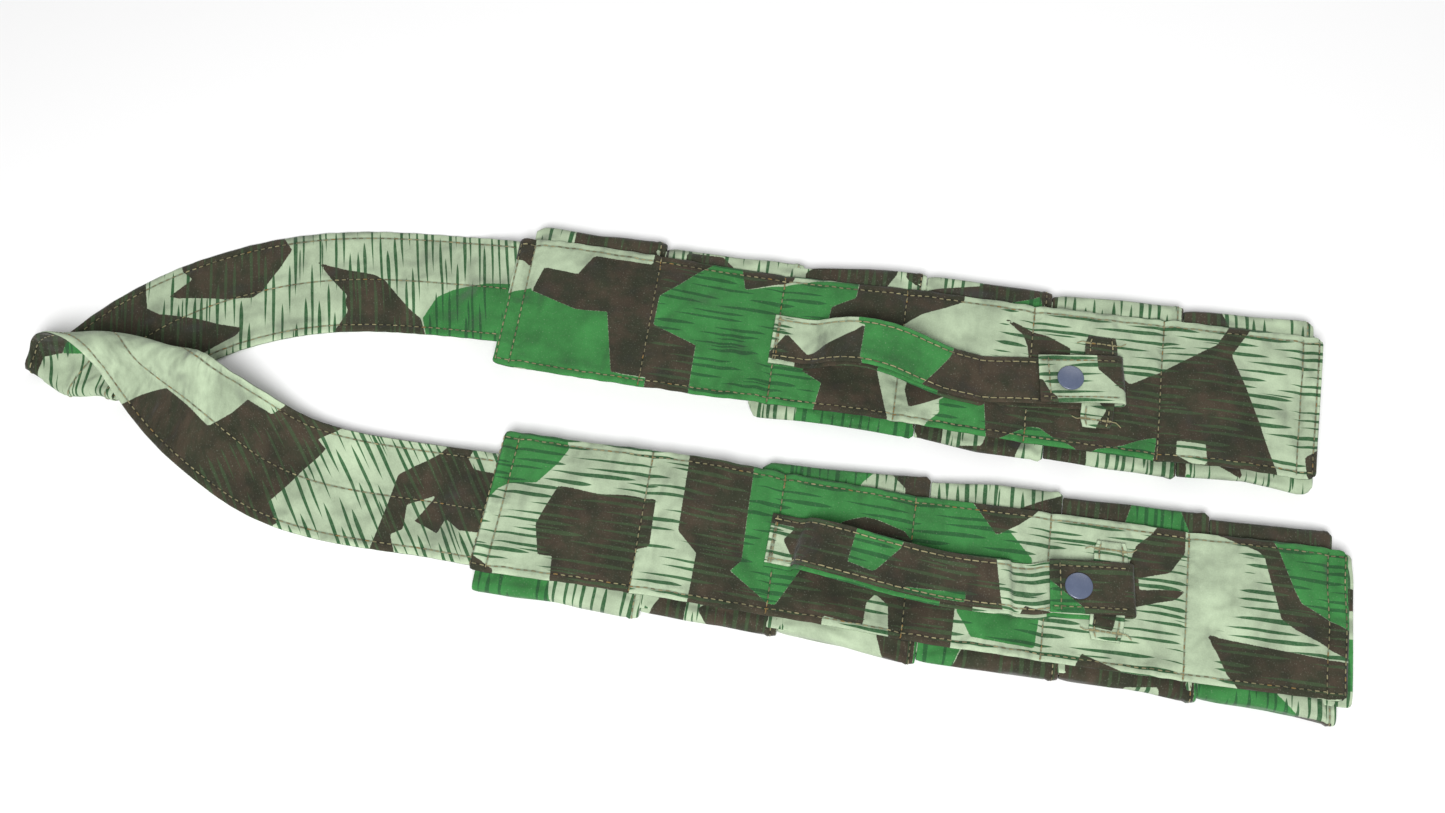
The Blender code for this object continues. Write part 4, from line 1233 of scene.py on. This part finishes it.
def belt_place(leg, u, across):
    """World x and y of a place on the belt strap's turned end."""
    turn = math.radians(leg["belt_turn"])
    snap_u, snap_y = leg["snap"]
    along = u - snap_u
    x = leg["x"] + snap_u + along * math.cos(turn) - across * math.sin(turn)
    y = leg["y"] + snap_y + along * math.sin(turn) + across * math.cos(turn)
    return x, y


# ---------------------------------------------------------------- belt straps

BELT_REST_Z = 14.5
BELT_FOLD_R = 2.2
TAB_END_U = 280.2
TAB_Z = 18.5
BELT_HALF = 14.0
BELT_STITCH = 10.8
BELT_THICK = 1.3
BELT_PLY = 0.75
KEEPER_HALF = 8.6
KEEPER_STITCH = 6.0
KEEPER_THICK = 1.3
# Middle line of each strap from its sewn end: u, y from the leg's centre line, and height above rest.
BELT_LINE = {
    "leg1": (
        (136.5, -2.0, 0.0), (142.0, -2.1, 0.0), (148.0, -2.2, 0.0), (158.0, -2.6, 1.0), (168.0, -3.0, 7.5),
        (178.0, -3.4, 12.5), (190.0, -4.2, 14.5), (204.0, -5.8, 13.5), (218.0, -8.4, 9.8),
        (232.0, -10.2, 5.0), (245.0, -10.6, 2.4), (251.0, -10.3, 0.6), (260.0, -9.2, 0.3), (270.0, -7.8, 0.0),
    ),
    "leg2": (
        (136.5, 0.0, 0.0), (142.0, -0.2, 0.0), (149.0, -0.7, 0.2), (152.0, -1.1, 2.0), (154.5, -1.6, 6.4),
        (163.0, -3.8, 10.6), (178.0, -6.4, 12.8), (194.0, -8.6, 12.3), (210.0, -10.0, 10.6),
        (226.0, -10.6, 8.6), (242.0, -10.2, 6.6), (254.0, -9.4, 5.4), (259.5, -9.0, 4.6), (262.2, -8.7, 1.0),
        (266.0, -8.3, 0.1), (273.0, -7.6, 0.0),
    ),
}


def smooth_line(points, spacing):
    """Points along a smooth curve through the given ones, about evenly spaced, and their distances."""
    path = spline(points, 20)
    travelled = travelled_along(path)
    where = stations(0.0, travelled[-1], spacing)
    return where, np.stack([np.interp(where, travelled, path[:, k]) for k in range(path.shape[1])], -1)


def band_sheet(path, where, near, far, seed):
    """A strap: rows square to a middle line in space, near and far are its reach to the two sides."""
    across = stations(-near, far, 1.5, (-BELT_STITCH, BELT_STITCH))
    tangent = np.gradient(path[:, :2], axis=0)
    tangent /= np.linalg.norm(tangent, axis=1, keepdims=True)
    for _ in range(6):
        tangent[1:-1] = (tangent[:-2] + tangent[1:-1] + tangent[2:]) / 3.0
    tangent /= np.linalg.norm(tangent, axis=1, keepdims=True)
    square = np.stack([-tangent[:, 1], tangent[:, 0], np.zeros(len(path))], -1)
    points = path[:, None, :] + square[:, None, :] * across[None, :, None]
    sheet = Sheet(where, across, points)
    s, t = grid(where, across)
    edge = np.minimum(t + near, far - t)
    height = 0.12 * ease((4.4 - edge) / 1.4)
    height += 0.30 * noise(seed, s, t, 14.0) + 0.12 * noise(seed + 1, s, t, 6.0)
    puckers = np.sin(2.0 * math.pi * (s + 4.0 * noise(seed + 2, s, t, 20.0)) / 8.0)
    sheet.push(height + 0.14 * puckers * ridge(edge, 4.0))
    return sheet


def add_under_ply(side, leg, path, where, seed):
    """The strap's lower ply, a little wider on the near side, so that its edge shows."""
    sheet = band_sheet(path - (0.0, 0.0, 0.45), where, BELT_HALF + 1.4, BELT_HALF - 1.4, seed)
    s, t = grid(where, sheet.across)
    sheet.push(-0.7 * ease((-t - BELT_HALF + 2.2) / 2.0))
    u = grid(path[:, 0] - leg["x"], sheet.across)[0]
    fields = painted(UNDER_PLY_PRINT[side], u, t)
    piece = cloth_piece(side + "_under_ply", sheet, BELT_PLY, fields, (s, t), PATCH["under_ply"])
    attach(piece, side)


def add_belt(side, leg, threads):
    """Belt strap from its sewn end, over its slack arch and under the keeper, to its fold."""
    seed = leg["seeds"]["belt"]
    line = [(leg["x"] + u, leg["y"] + y, BELT_REST_Z + z) for u, y, z in BELT_LINE[side]]
    for u in (TAB_END_U, 286.0, leg["snap"][0], 309.0, leg["fold_u"] - 4.0):
        line.append((*belt_place(leg, u, 0.0), BELT_REST_Z + 0.2))
    where, path = smooth_line(line, 1.6)
    where = where + BELT_LINE[side][0][0]
    add_under_ply(side, leg, path, where, seed)
    sheet = band_sheet(path + (0.0, 0.0, 0.4), where, BELT_HALF - 0.5, BELT_HALF - 0.5, seed)
    s, t = grid(where, sheet.across)
    u = grid(path[:, 0] - leg["x"], sheet.across)[0]
    fields = painted(BELT_PRINT[side], u, t)
    first, last = where[0] + 1.0, where[-1] - 8.0
    edges = [((first, edge * BELT_STITCH), (last, edge * BELT_STITCH)) for edge in ENDS]
    sew(sheet, threads, edges, BELT_PLY / 2.0, pitch=4.4, share=0.86, tint=0.72)
    start, half = where[0], BELT_HALF - 0.6
    ends = [((start + a, -half), (start + b, half)) for a, b in ((2.0, 2.6), (3.4, 3.0))]
    sew(sheet, threads, ends, BELT_PLY / 2.0, depth=0.15, pitch=3.2, tint=0.35)
    sheet.seams = edges + ends
    piece = cloth_piece(side + "_belt_cloth", sheet, BELT_PLY, fields, (s, t), PATCH["belt"])
    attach(piece, side)
    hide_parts(side + "_belt_strap")


def tab_section(leg):
    """The tab's side view as (u, z): from under the fold, over it and back past the press stud."""
    fold_u, snap_u = leg["fold_u"], leg["snap"][0]
    section = [(fold_u - 5.0, BELT_REST_Z + 0.2)]
    centre = BELT_REST_Z + 0.1 + BELT_FOLD_R * 0.9
    for angle in range(-90, 91, 20):
        a = math.radians(angle)
        section.append((fold_u + 2.0 * math.cos(a), centre + 2.0 * math.sin(a)))
    section += [(316.0, TAB_Z + 0.4), (305.0, TAB_Z + 0.5), (snap_u, TAB_Z)]
    return section + [(286.0, TAB_Z), (TAB_END_U, TAB_Z - 0.3)]


def add_tab(side, leg, threads):
    """The strap's end tab, folded back over the keeper. Its sheet faces down, so heights are reversed."""
    seed = leg["seeds"]["belt"] + 7
    snap_u, snap_y = leg["snap"]
    where, path = smooth_line([(*belt_place(leg, u, 0.0), z) for u, z in tab_section(leg)], 1.4)
    turn = math.radians(leg["belt_turn"])
    across = stations(-BELT_HALF, BELT_HALF, 1.5, (-BELT_STITCH, BELT_STITCH))
    square = np.array([-math.sin(turn), math.cos(turn), 0.0])
    tab = Sheet(where, across, path[:, None, :] + square[None, None, :] * across[None, :, None])
    s, t = grid(where, across)
    ahead = (path[:, 0] - leg["x"] - snap_u) * math.cos(turn)
    aside = (path[:, 1] - leg["y"] - snap_y) * math.sin(turn)
    u = grid(ahead + aside + snap_u, across)[0]
    edge = BELT_HALF - np.abs(t)
    height = 0.30 * noise(seed, s, t, 13.0) + 0.10 * ease((4.4 - edge) / 1.4)
    height -= 0.45 * ridge(np.hypot(u - snap_u, t), 9.0)
    tab.push(-height)
    last = where[-1]
    lines = [((13.0, edge * BELT_STITCH), (last - 1.0, edge * BELT_STITCH)) for edge in ENDS]
    lines.append(((last - 5.6, -13.2), (last - 5.2, 13.2)))
    sew(tab, threads, lines, BELT_THICK / 2.0, side=-1.0, pitch=3.6)
    fields = painted(TAB_PRINT[side], u, t)
    made = cloth_piece(side + "_tab_cloth", tab, BELT_THICK, fields, (s, t), PATCH["tab"])
    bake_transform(made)
    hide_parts(side + "_belt_tab")


def add_belt_snap(side, leg):
    """Cap on the tab, and the post on the strap under it."""
    centre = belt_place(leg, leg["snap"][0], 0.0)
    outline = cap_curve(TAB_Z + 2.35, TAB_Z + 0.75, 1.0)
    cap = turned_piece(side + "_snap_cap", outline, centre, CAP_MATERIAL, 72)
    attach(cap, side + "_tab")
    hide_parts(side + "_belt_snap")
    knob = ((0.0, 17.4), (2.4, 17.4), (3.0, 16.9), (2.5, 16.2))
    flange = ((5.2, 16.1), (5.5, 15.8), (5.5, 15.0), (0.0, 15.0))
    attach(turned_piece(side + "_snap_post", knob + flange, centre, STEEL_MATERIAL), side)


def add_keeper(side, leg, threads):
    """Cloth bar over the strap: flat at its tacked ends, raised over the strap between them."""
    middle_u, middle_y, reach = leg["keeper"]
    crest = BELT_HALF + 1.6
    low = PANEL_TOP + 1.2
    high = BELT_REST_Z + 2.0
    line = [(-reach, low), (-reach + 5.0, low), (-crest - 3.5, low + 0.2), (-crest, high), (0.0, high + 0.1)]
    line += [(-v, z) for v, z in reversed(line[:-1])]
    where, path = smooth_line(line, 1.2)
    length = where[-1]
    across = stations(-KEEPER_HALF, KEEPER_HALF, 1.3, (-KEEPER_STITCH, KEEPER_STITCH))
    x = leg["x"] + middle_u
    y = leg["y"] + middle_y
    to_end = np.minimum(where, length - where)
    points = np.empty((len(where), len(across), 3))
    points[..., 0] = x - across[None, :] * (1.0 - 0.16 * ridge(to_end, 3.4))[:, None]
    points[..., 1] = (y + path[:, 0])[:, None]
    points[..., 2] = path[:, 1][:, None]
    sheet = Sheet(where, across, points)
    s, t = grid(where, across)
    puff = 0.5 * ridge(np.abs(s - length / 2.0) - 19.5, 4.0) * (1.0 - (t / KEEPER_HALF) ** 2)
    sheet.push(puff + 0.25 * noise(leg["seeds"]["keeper"], s, t, 8.0))
    lines = []
    for edge in (-KEEPER_STITCH, KEEPER_STITCH):
        lines += [((1.0, edge), (11.5, edge)), ((length - 11.5, edge), (length - 1.0, edge))]
    sew(sheet, threads, lines, KEEPER_THICK / 2.0, pitch=3.0, tint=0.6)
    tacks = []
    for place in (4.7, length - 4.7):
        tacks += [((place + shift, -8.4), (place - shift, 8.4)) for shift in (-0.35, 0.35)]
    sew(sheet, threads, tacks, KEEPER_THICK / 2.0, depth=0.2, pitch=2.4, share=0.88, tint=0.55, width=0.42)
    sheet.seams = lines + tacks
    fields = painted(KEEPER_PRINT[side], -t, grid(path[:, 0], across)[0])
    made = cloth_piece(side + "_keeper_cloth", sheet, KEEPER_THICK, fields, (t, s), PATCH["keeper"])
    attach(made, side)
    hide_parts(side + "_belt_keeper")
    for end in ENDS:
        for corner in ENDS:
            base = np.array([x + corner * KEEPER_HALF, y + end * (reach - 4.6), low + 0.6])
            out = np.array([corner * 3.2, 0.5 * end, -0.2])
            swing = np.array([corner * 1.2, end * (1.8 if corner > 0 else -1.4), -0.3])
            threads.loose([base - out, base, base + out * 0.6, base + out + swing], tint=0.85)


# ---------------------------------------------------------------- neck strap

NECK_HALF = 31.3
NECK_THICK = 1.5
NECK_STITCH = (-27.2, -1.0, 27.2)
NECK_CURVED = 544.4
NECK_LENGTH = 556.8
# Start of the centre line as x, y and heading in degrees, then its bend in radians a metre, at even steps.
NECK_START = (-96.5, 69.0, 180.0)
NECK_CURVATURE = (1.09, 1.41, 4.94, 4.96, 7.05, 7.27, 6.05, 0.01, 10.02, 1.41, -0.68)
NECK_TABLE_Z = 0.8
NECK_SEWN_Z = 11.25
NECK_RISE = 42.0
NECK_LEAN = -0.45
NECK_THREAD_SEED = 7
# Folds in turn: distance along, direction of the fold's axis, turn, and bending radius inside and outside.
NECK_FOLDS = (
    (264.0, -19.71, 173.28, 3.5, 3.5),
    (317.6, -41.36, -226.88, 10.0, 14.5),
    (388.2, -48.18, 24.69, 100.0, 100.0),
    (409.8, -41.94, 28.59, 100.0, 100.0),
)
# Where the strap has slid from its ideal folds: distance along, then how far in x and in y, for the outer
# edge, the inner edge and the corner where it first turns under.
NECK_SLID = {
    "outer": ((258, 0, 0), (265, 0.5, 3), (273, -1.5, 4), (281, -4.4, 1), (289, -2.6, -1.8), (297, 3.2, -2.6),
              (305, 9, -0.6), (313, 13, 1.6), (321, 13, 4.4), (329, 9.6, 6.2), (337, 6, 5.6), (345, 4, 3.6),
              (353, 1.6, 2.6), (361, -1, 2.4), (372, -2.6, 1.4), (385, -2, 0), (410, 0, 0)),
    "inner": ((290, 0, 0), (305, 0, -1.5), (321, 0, -4), (337, 0, -7.5), (353, 0, -8), (361, 0, -6.5),
              (369, 0, -4.5), (377, 0, -3), (390, 0, -1.5), (410, 0, 0)),
    "corner": ((214, 0, 0), (240, -4, 7), (264, -8, 14), (288, -4, 7), (314, 0, 0)),
}
NECK_REACH = {"outer": (0.0, -31.3), "inner": (-15.0, 31.3), "corner": (-8.0, 30.0)}


def neck_line():
    """Centre line of the flat band, a point every half millimetre: distances, points and headings."""
    step = 0.5
    s = np.arange(0.0, NECK_LENGTH + 1.0, step)
    knots = np.linspace(0.0, NECK_CURVED, len(NECK_CURVATURE))
    bend = np.interp(s, knots, NECK_CURVATURE) * MM
    bend[s >= NECK_CURVED] = 0.0
    turn = np.concatenate([[0.0], np.cumsum((bend[:-1] + bend[1:]) / 2.0 * step)])
    heading = math.radians(NECK_START[2]) + turn
    middle = (heading[:-1] + heading[1:]) / 2.0
    x = NECK_START[0] + np.concatenate([[0.0], np.cumsum(np.cos(middle) * step)])
    y = NECK_START[1] + np.concatenate([[0.0], np.cumsum(np.sin(middle) * step)])
    return s, x, y, heading


def folded(points, from_middle, middle, ahead, turn, radius):
    """Turns the cloth past a fold line about a cylinder whose radius may differ from point to point."""
    width = radius * abs(turn)
    past = from_middle @ ahead + width / 2.0
    bent = np.sign(turn) * np.clip(past / radius, 0.0, abs(turn))
    up = np.array([0.0, 0.0, 1.0])
    pivot = middle - ahead * (width / 2.0)[..., None] + up * (math.copysign(1.0, turn) * radius)[..., None]
    moved = points - ahead * np.clip(past, 0.0, width)[..., None] - pivot
    forward, rise = moved @ ahead, moved[..., 2]
    sideways = moved - ahead * forward[..., None] - up * rise[..., None]
    new_forward = forward * np.cos(bent) - rise * np.sin(bent)
    new_rise = forward * np.sin(bent) + rise * np.cos(bent)
    turned = sideways + ahead * new_forward[..., None] + up * new_rise[..., None]
    return np.where((past > 0.0)[..., None], turned + pivot, points)


def neck_fold(points, flat, line, fold):
    """Folds the cloth once. The fold is as wide as its inside radius, and flares to the outside one."""
    line_s, line_x, line_y, line_heading = line
    where, direction, turn, radius, outer_radius = fold
    middle = np.array([np.interp(where, line_s, line_x), np.interp(where, line_s, line_y), 0.0])
    from_middle = flat - middle
    a, turn = math.radians(direction), math.radians(turn)
    heading = np.interp(where, line_s, line_heading)
    ahead = np.array([-math.sin(a), math.cos(a), 0.0])
    if ahead[0] * math.cos(heading) + ahead[1] * math.sin(heading) < 0.0:
        ahead = -ahead
    even = folded(points, from_middle, middle, ahead, turn, np.full(flat.shape[:2], radius))
    past = from_middle @ ahead - radius * abs(turn) / 2.0
    widening = ease((24.0 - from_middle @ np.array([math.cos(a), math.sin(a), 0.0])) / 58.0)
    flared_radius = radius + (outer_radius - radius) * widening
    flared = folded(points, from_middle, middle, ahead, turn, flared_radius)
    share = (1.0 - ease(past / 75.0))[..., None]
    return flared * share + even * (1.0 - share)


def neck_sheet():
    """The strap cut as a curved band, pleated in a Z at its apex, its ends rising to the panels' hems."""
    line = neck_line()
    line_s, line_x, line_y, line_heading = line
    along = stations(0.0, NECK_LENGTH, 1.6)
    across = stations(-NECK_HALF, NECK_HALF, 1.8, NECK_STITCH)
    s, t = grid(along, across)
    heading = np.interp(s, line_s, line_heading)
    x = np.interp(s, line_s, line_x) - t * np.sin(heading)
    y = np.interp(s, line_s, line_y) + t * np.cos(heading)
    flat = np.stack([x, y, np.zeros(s.shape)], -1)
    points = flat.copy()
    for fold in reversed(NECK_FOLDS):
        points = neck_fold(points, flat, line, fold)
    for name, knots in NECK_SLID.items():
        first, last = NECK_REACH[name]
        weight = ease((t - first) / (last - first))
        for axis in (0, 1):
            points[..., axis] += weight * curve(s, [(knot[0], knot[axis + 1]) for knot in knots], 3.0)
    points[..., 2] += NECK_TABLE_Z
    edge = np.minimum(s, NECK_LENGTH - s)
    lift = (NECK_SEWN_Z - points[..., 2]) * ease(1.0 - (edge - 6.0) / (NECK_RISE - 6.0)) * (edge < NECK_RISE)
    points[..., 2] += lift
    points[..., 1] += NECK_LEAN * lift
    return Sheet(along, across, points), s, t, flat


def turned_grid(flat, degrees):
    """Coordinates on flat cloth for strokes that run in a direction, a little longer and closer together."""
    a = np.radians(degrees)
    x, y = flat[..., 0] + 300.0, flat[..., 1]
    return 0.8 * (x * np.cos(a) + y * np.sin(a)), 1.15 * (y * np.cos(a) - x * np.sin(a))


def add_neck():
    """The neck strap with its soft swells, its three rows of stitching on both faces, and its print."""
    sheet, s, t, flat = neck_sheet()
    edge = NECK_HALF - np.abs(t)
    height = 0.12 * ease((5.0 - edge) / 1.4)
    loose_part = ease((s - 20.0) / 30.0) * ease((NECK_LENGTH - 20.0 - s) / 30.0)
    height += loose_part * (0.5 * noise(501, s, t, 42.0) + 0.24 * noise(502, s, t, 15.0))
    height += 0.10 * noise(503, s, t, 6.0)
    ripple = np.sin(2.0 * math.pi * (s + 7.0 * noise(504, s, t, 30.0)) / 12.0)
    height += 0.18 * ripple * ridge(edge - 1.0, 4.0)
    lowest = sheet.points[..., 2]
    height = np.where(lowest < 2.2, np.maximum(height, -0.05 - (lowest - NECK_TABLE_Z)), height)
    facing = np.sign(sheet.normals[..., 2])
    sheet.push(np.where(facing < 0.0, -np.abs(height) * 0.5, height))
    threads = Threads(NECK_THREAD_SEED)
    lines = [((6.0, line), (NECK_LENGTH - 6.0, line)) for line in NECK_STITCH]
    sew(sheet, threads, lines, NECK_THICK / 2.0, tint=0.42)
    sew(sheet, threads, lines, NECK_THICK / 2.0, depth=0.0, side=-1.0, tint=0.42)
    fields = painted(NECK_PRINT, s, t)
    under = painted(NECK_UNDER_PRINT, s, t)
    streaks = turned_grid(flat, 104.0 - 26.0 * ease((s - 330.0) / 70.0))
    under_streaks = turned_grid(flat, 46.0)
    patch = PATCH["neck"]
    piece = cloth_piece("neck_cloth", sheet, NECK_THICK, fields, streaks, patch, under, under_streaks)
    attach(piece, "neck")
    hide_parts("neck_strap")
    threads.piece("neck_stitching", "neck")


# ---------------------------------------------------------------- camera, floor and light

CAMERA_PLACE = (0.0835, -0.3791, 0.8752)
CAMERA_TARGET = (0.0237, 0.0181, 0.0)
CAMERA_LENS = 44.59
# Round lamps: place, diameter and power.
LAMPS = {
    "key": ((0.05, -0.95, 1.35), 0.75, 31.5),
    "fill": ((0.40, 1.20, 1.00), 1.0, 5.0),
}
WORLD_STRENGTH = 0.29
FLOOR_HALF = 4000.0
FLOOR_Z = -0.08


def aimed(name, data, place, target):
    """A camera's or a lamp's object, turned to its target."""
    obj = bpy.data.objects.new(name, data)
    bpy.context.scene.collection.objects.link(obj)
    obj.location = place
    direction = Vector(target) - Vector(place)
    obj.rotation_euler = direction.to_track_quat("-Z", "Y").to_euler()
    return obj


def make_camera():
    """The camera of the main view."""
    camera = bpy.data.cameras.new("camera")
    camera.lens = CAMERA_LENS
    camera.sensor_width = 36.0
    bpy.context.scene.camera = aimed("camera", camera, CAMERA_PLACE, CAMERA_TARGET)


def make_lamp(name, place, size, power):
    """A soft round lamp over the object."""
    lamp = bpy.data.lights.new(name, "AREA")
    lamp.shape = "DISK"
    lamp.size = size
    lamp.energy = power
    aimed(name, lamp, place, (0.0, 0.0, 0.0))


def make_floor():
    """A wide pale floor just under the cloth."""
    material = Nodes("pale_floor").finished({
        "Base Color": (0.90, 0.90, 0.90, 1.0),
        "Roughness": 0.9,
        "Specular IOR Level": 0.1,
    })
    corners = ((-1, -1), (1, -1), (1, 1), (-1, 1))
    verts = [(x * FLOOR_HALF, y * FLOOR_HALF, FLOOR_Z) for x, y in corners]
    finish_mesh("floor", verts, [(0, 1, 2, 3)], material)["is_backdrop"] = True


def make_world():
    """Even white light from all round."""
    world = bpy.data.worlds.new("studio")
    world.use_nodes = True
    background = world.node_tree.nodes["Background"]
    background.inputs["Color"].default_value = (1.0, 1.0, 1.0, 1.0)
    background.inputs["Strength"].default_value = WORLD_STRENGTH
    bpy.context.scene.world = world


def add_leg(side, leg):
    """One leg with everything on it. Its stitches are drawn in this order from the leg's own seeds."""
    threads = Threads(leg["seeds"]["leg_thread"])
    tab_threads = Threads(leg["seeds"]["tab_thread"])
    add_panel(side, leg, threads)
    for number in range(POUCHES):
        add_pouch(side, leg, number)
        add_flap(side, leg, number, threads)
        add_flap_stud(side, leg, number)
        add_pouch_stud(side, leg, number)
    add_belt(side, leg, threads)
    add_tab(side, leg, tab_threads)
    add_belt_snap(side, leg)
    add_keeper(side, leg, threads)
    if side == "leg2":
        add_end_lining(side, leg)
    threads.piece(side + "_stitching", side)
    tab_threads.piece(side + "_tab_stitching", side + "_tab")


make_camera()
make_floor()
make_world()
for name, (place, size, power) in LAMPS.items():
    make_lamp(name, place, size, power)
bpy.context.scene.view_settings.view_transform = "Standard"

add_neck()
for side, leg in LEGS.items():
    add_leg(side, leg)

low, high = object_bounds()
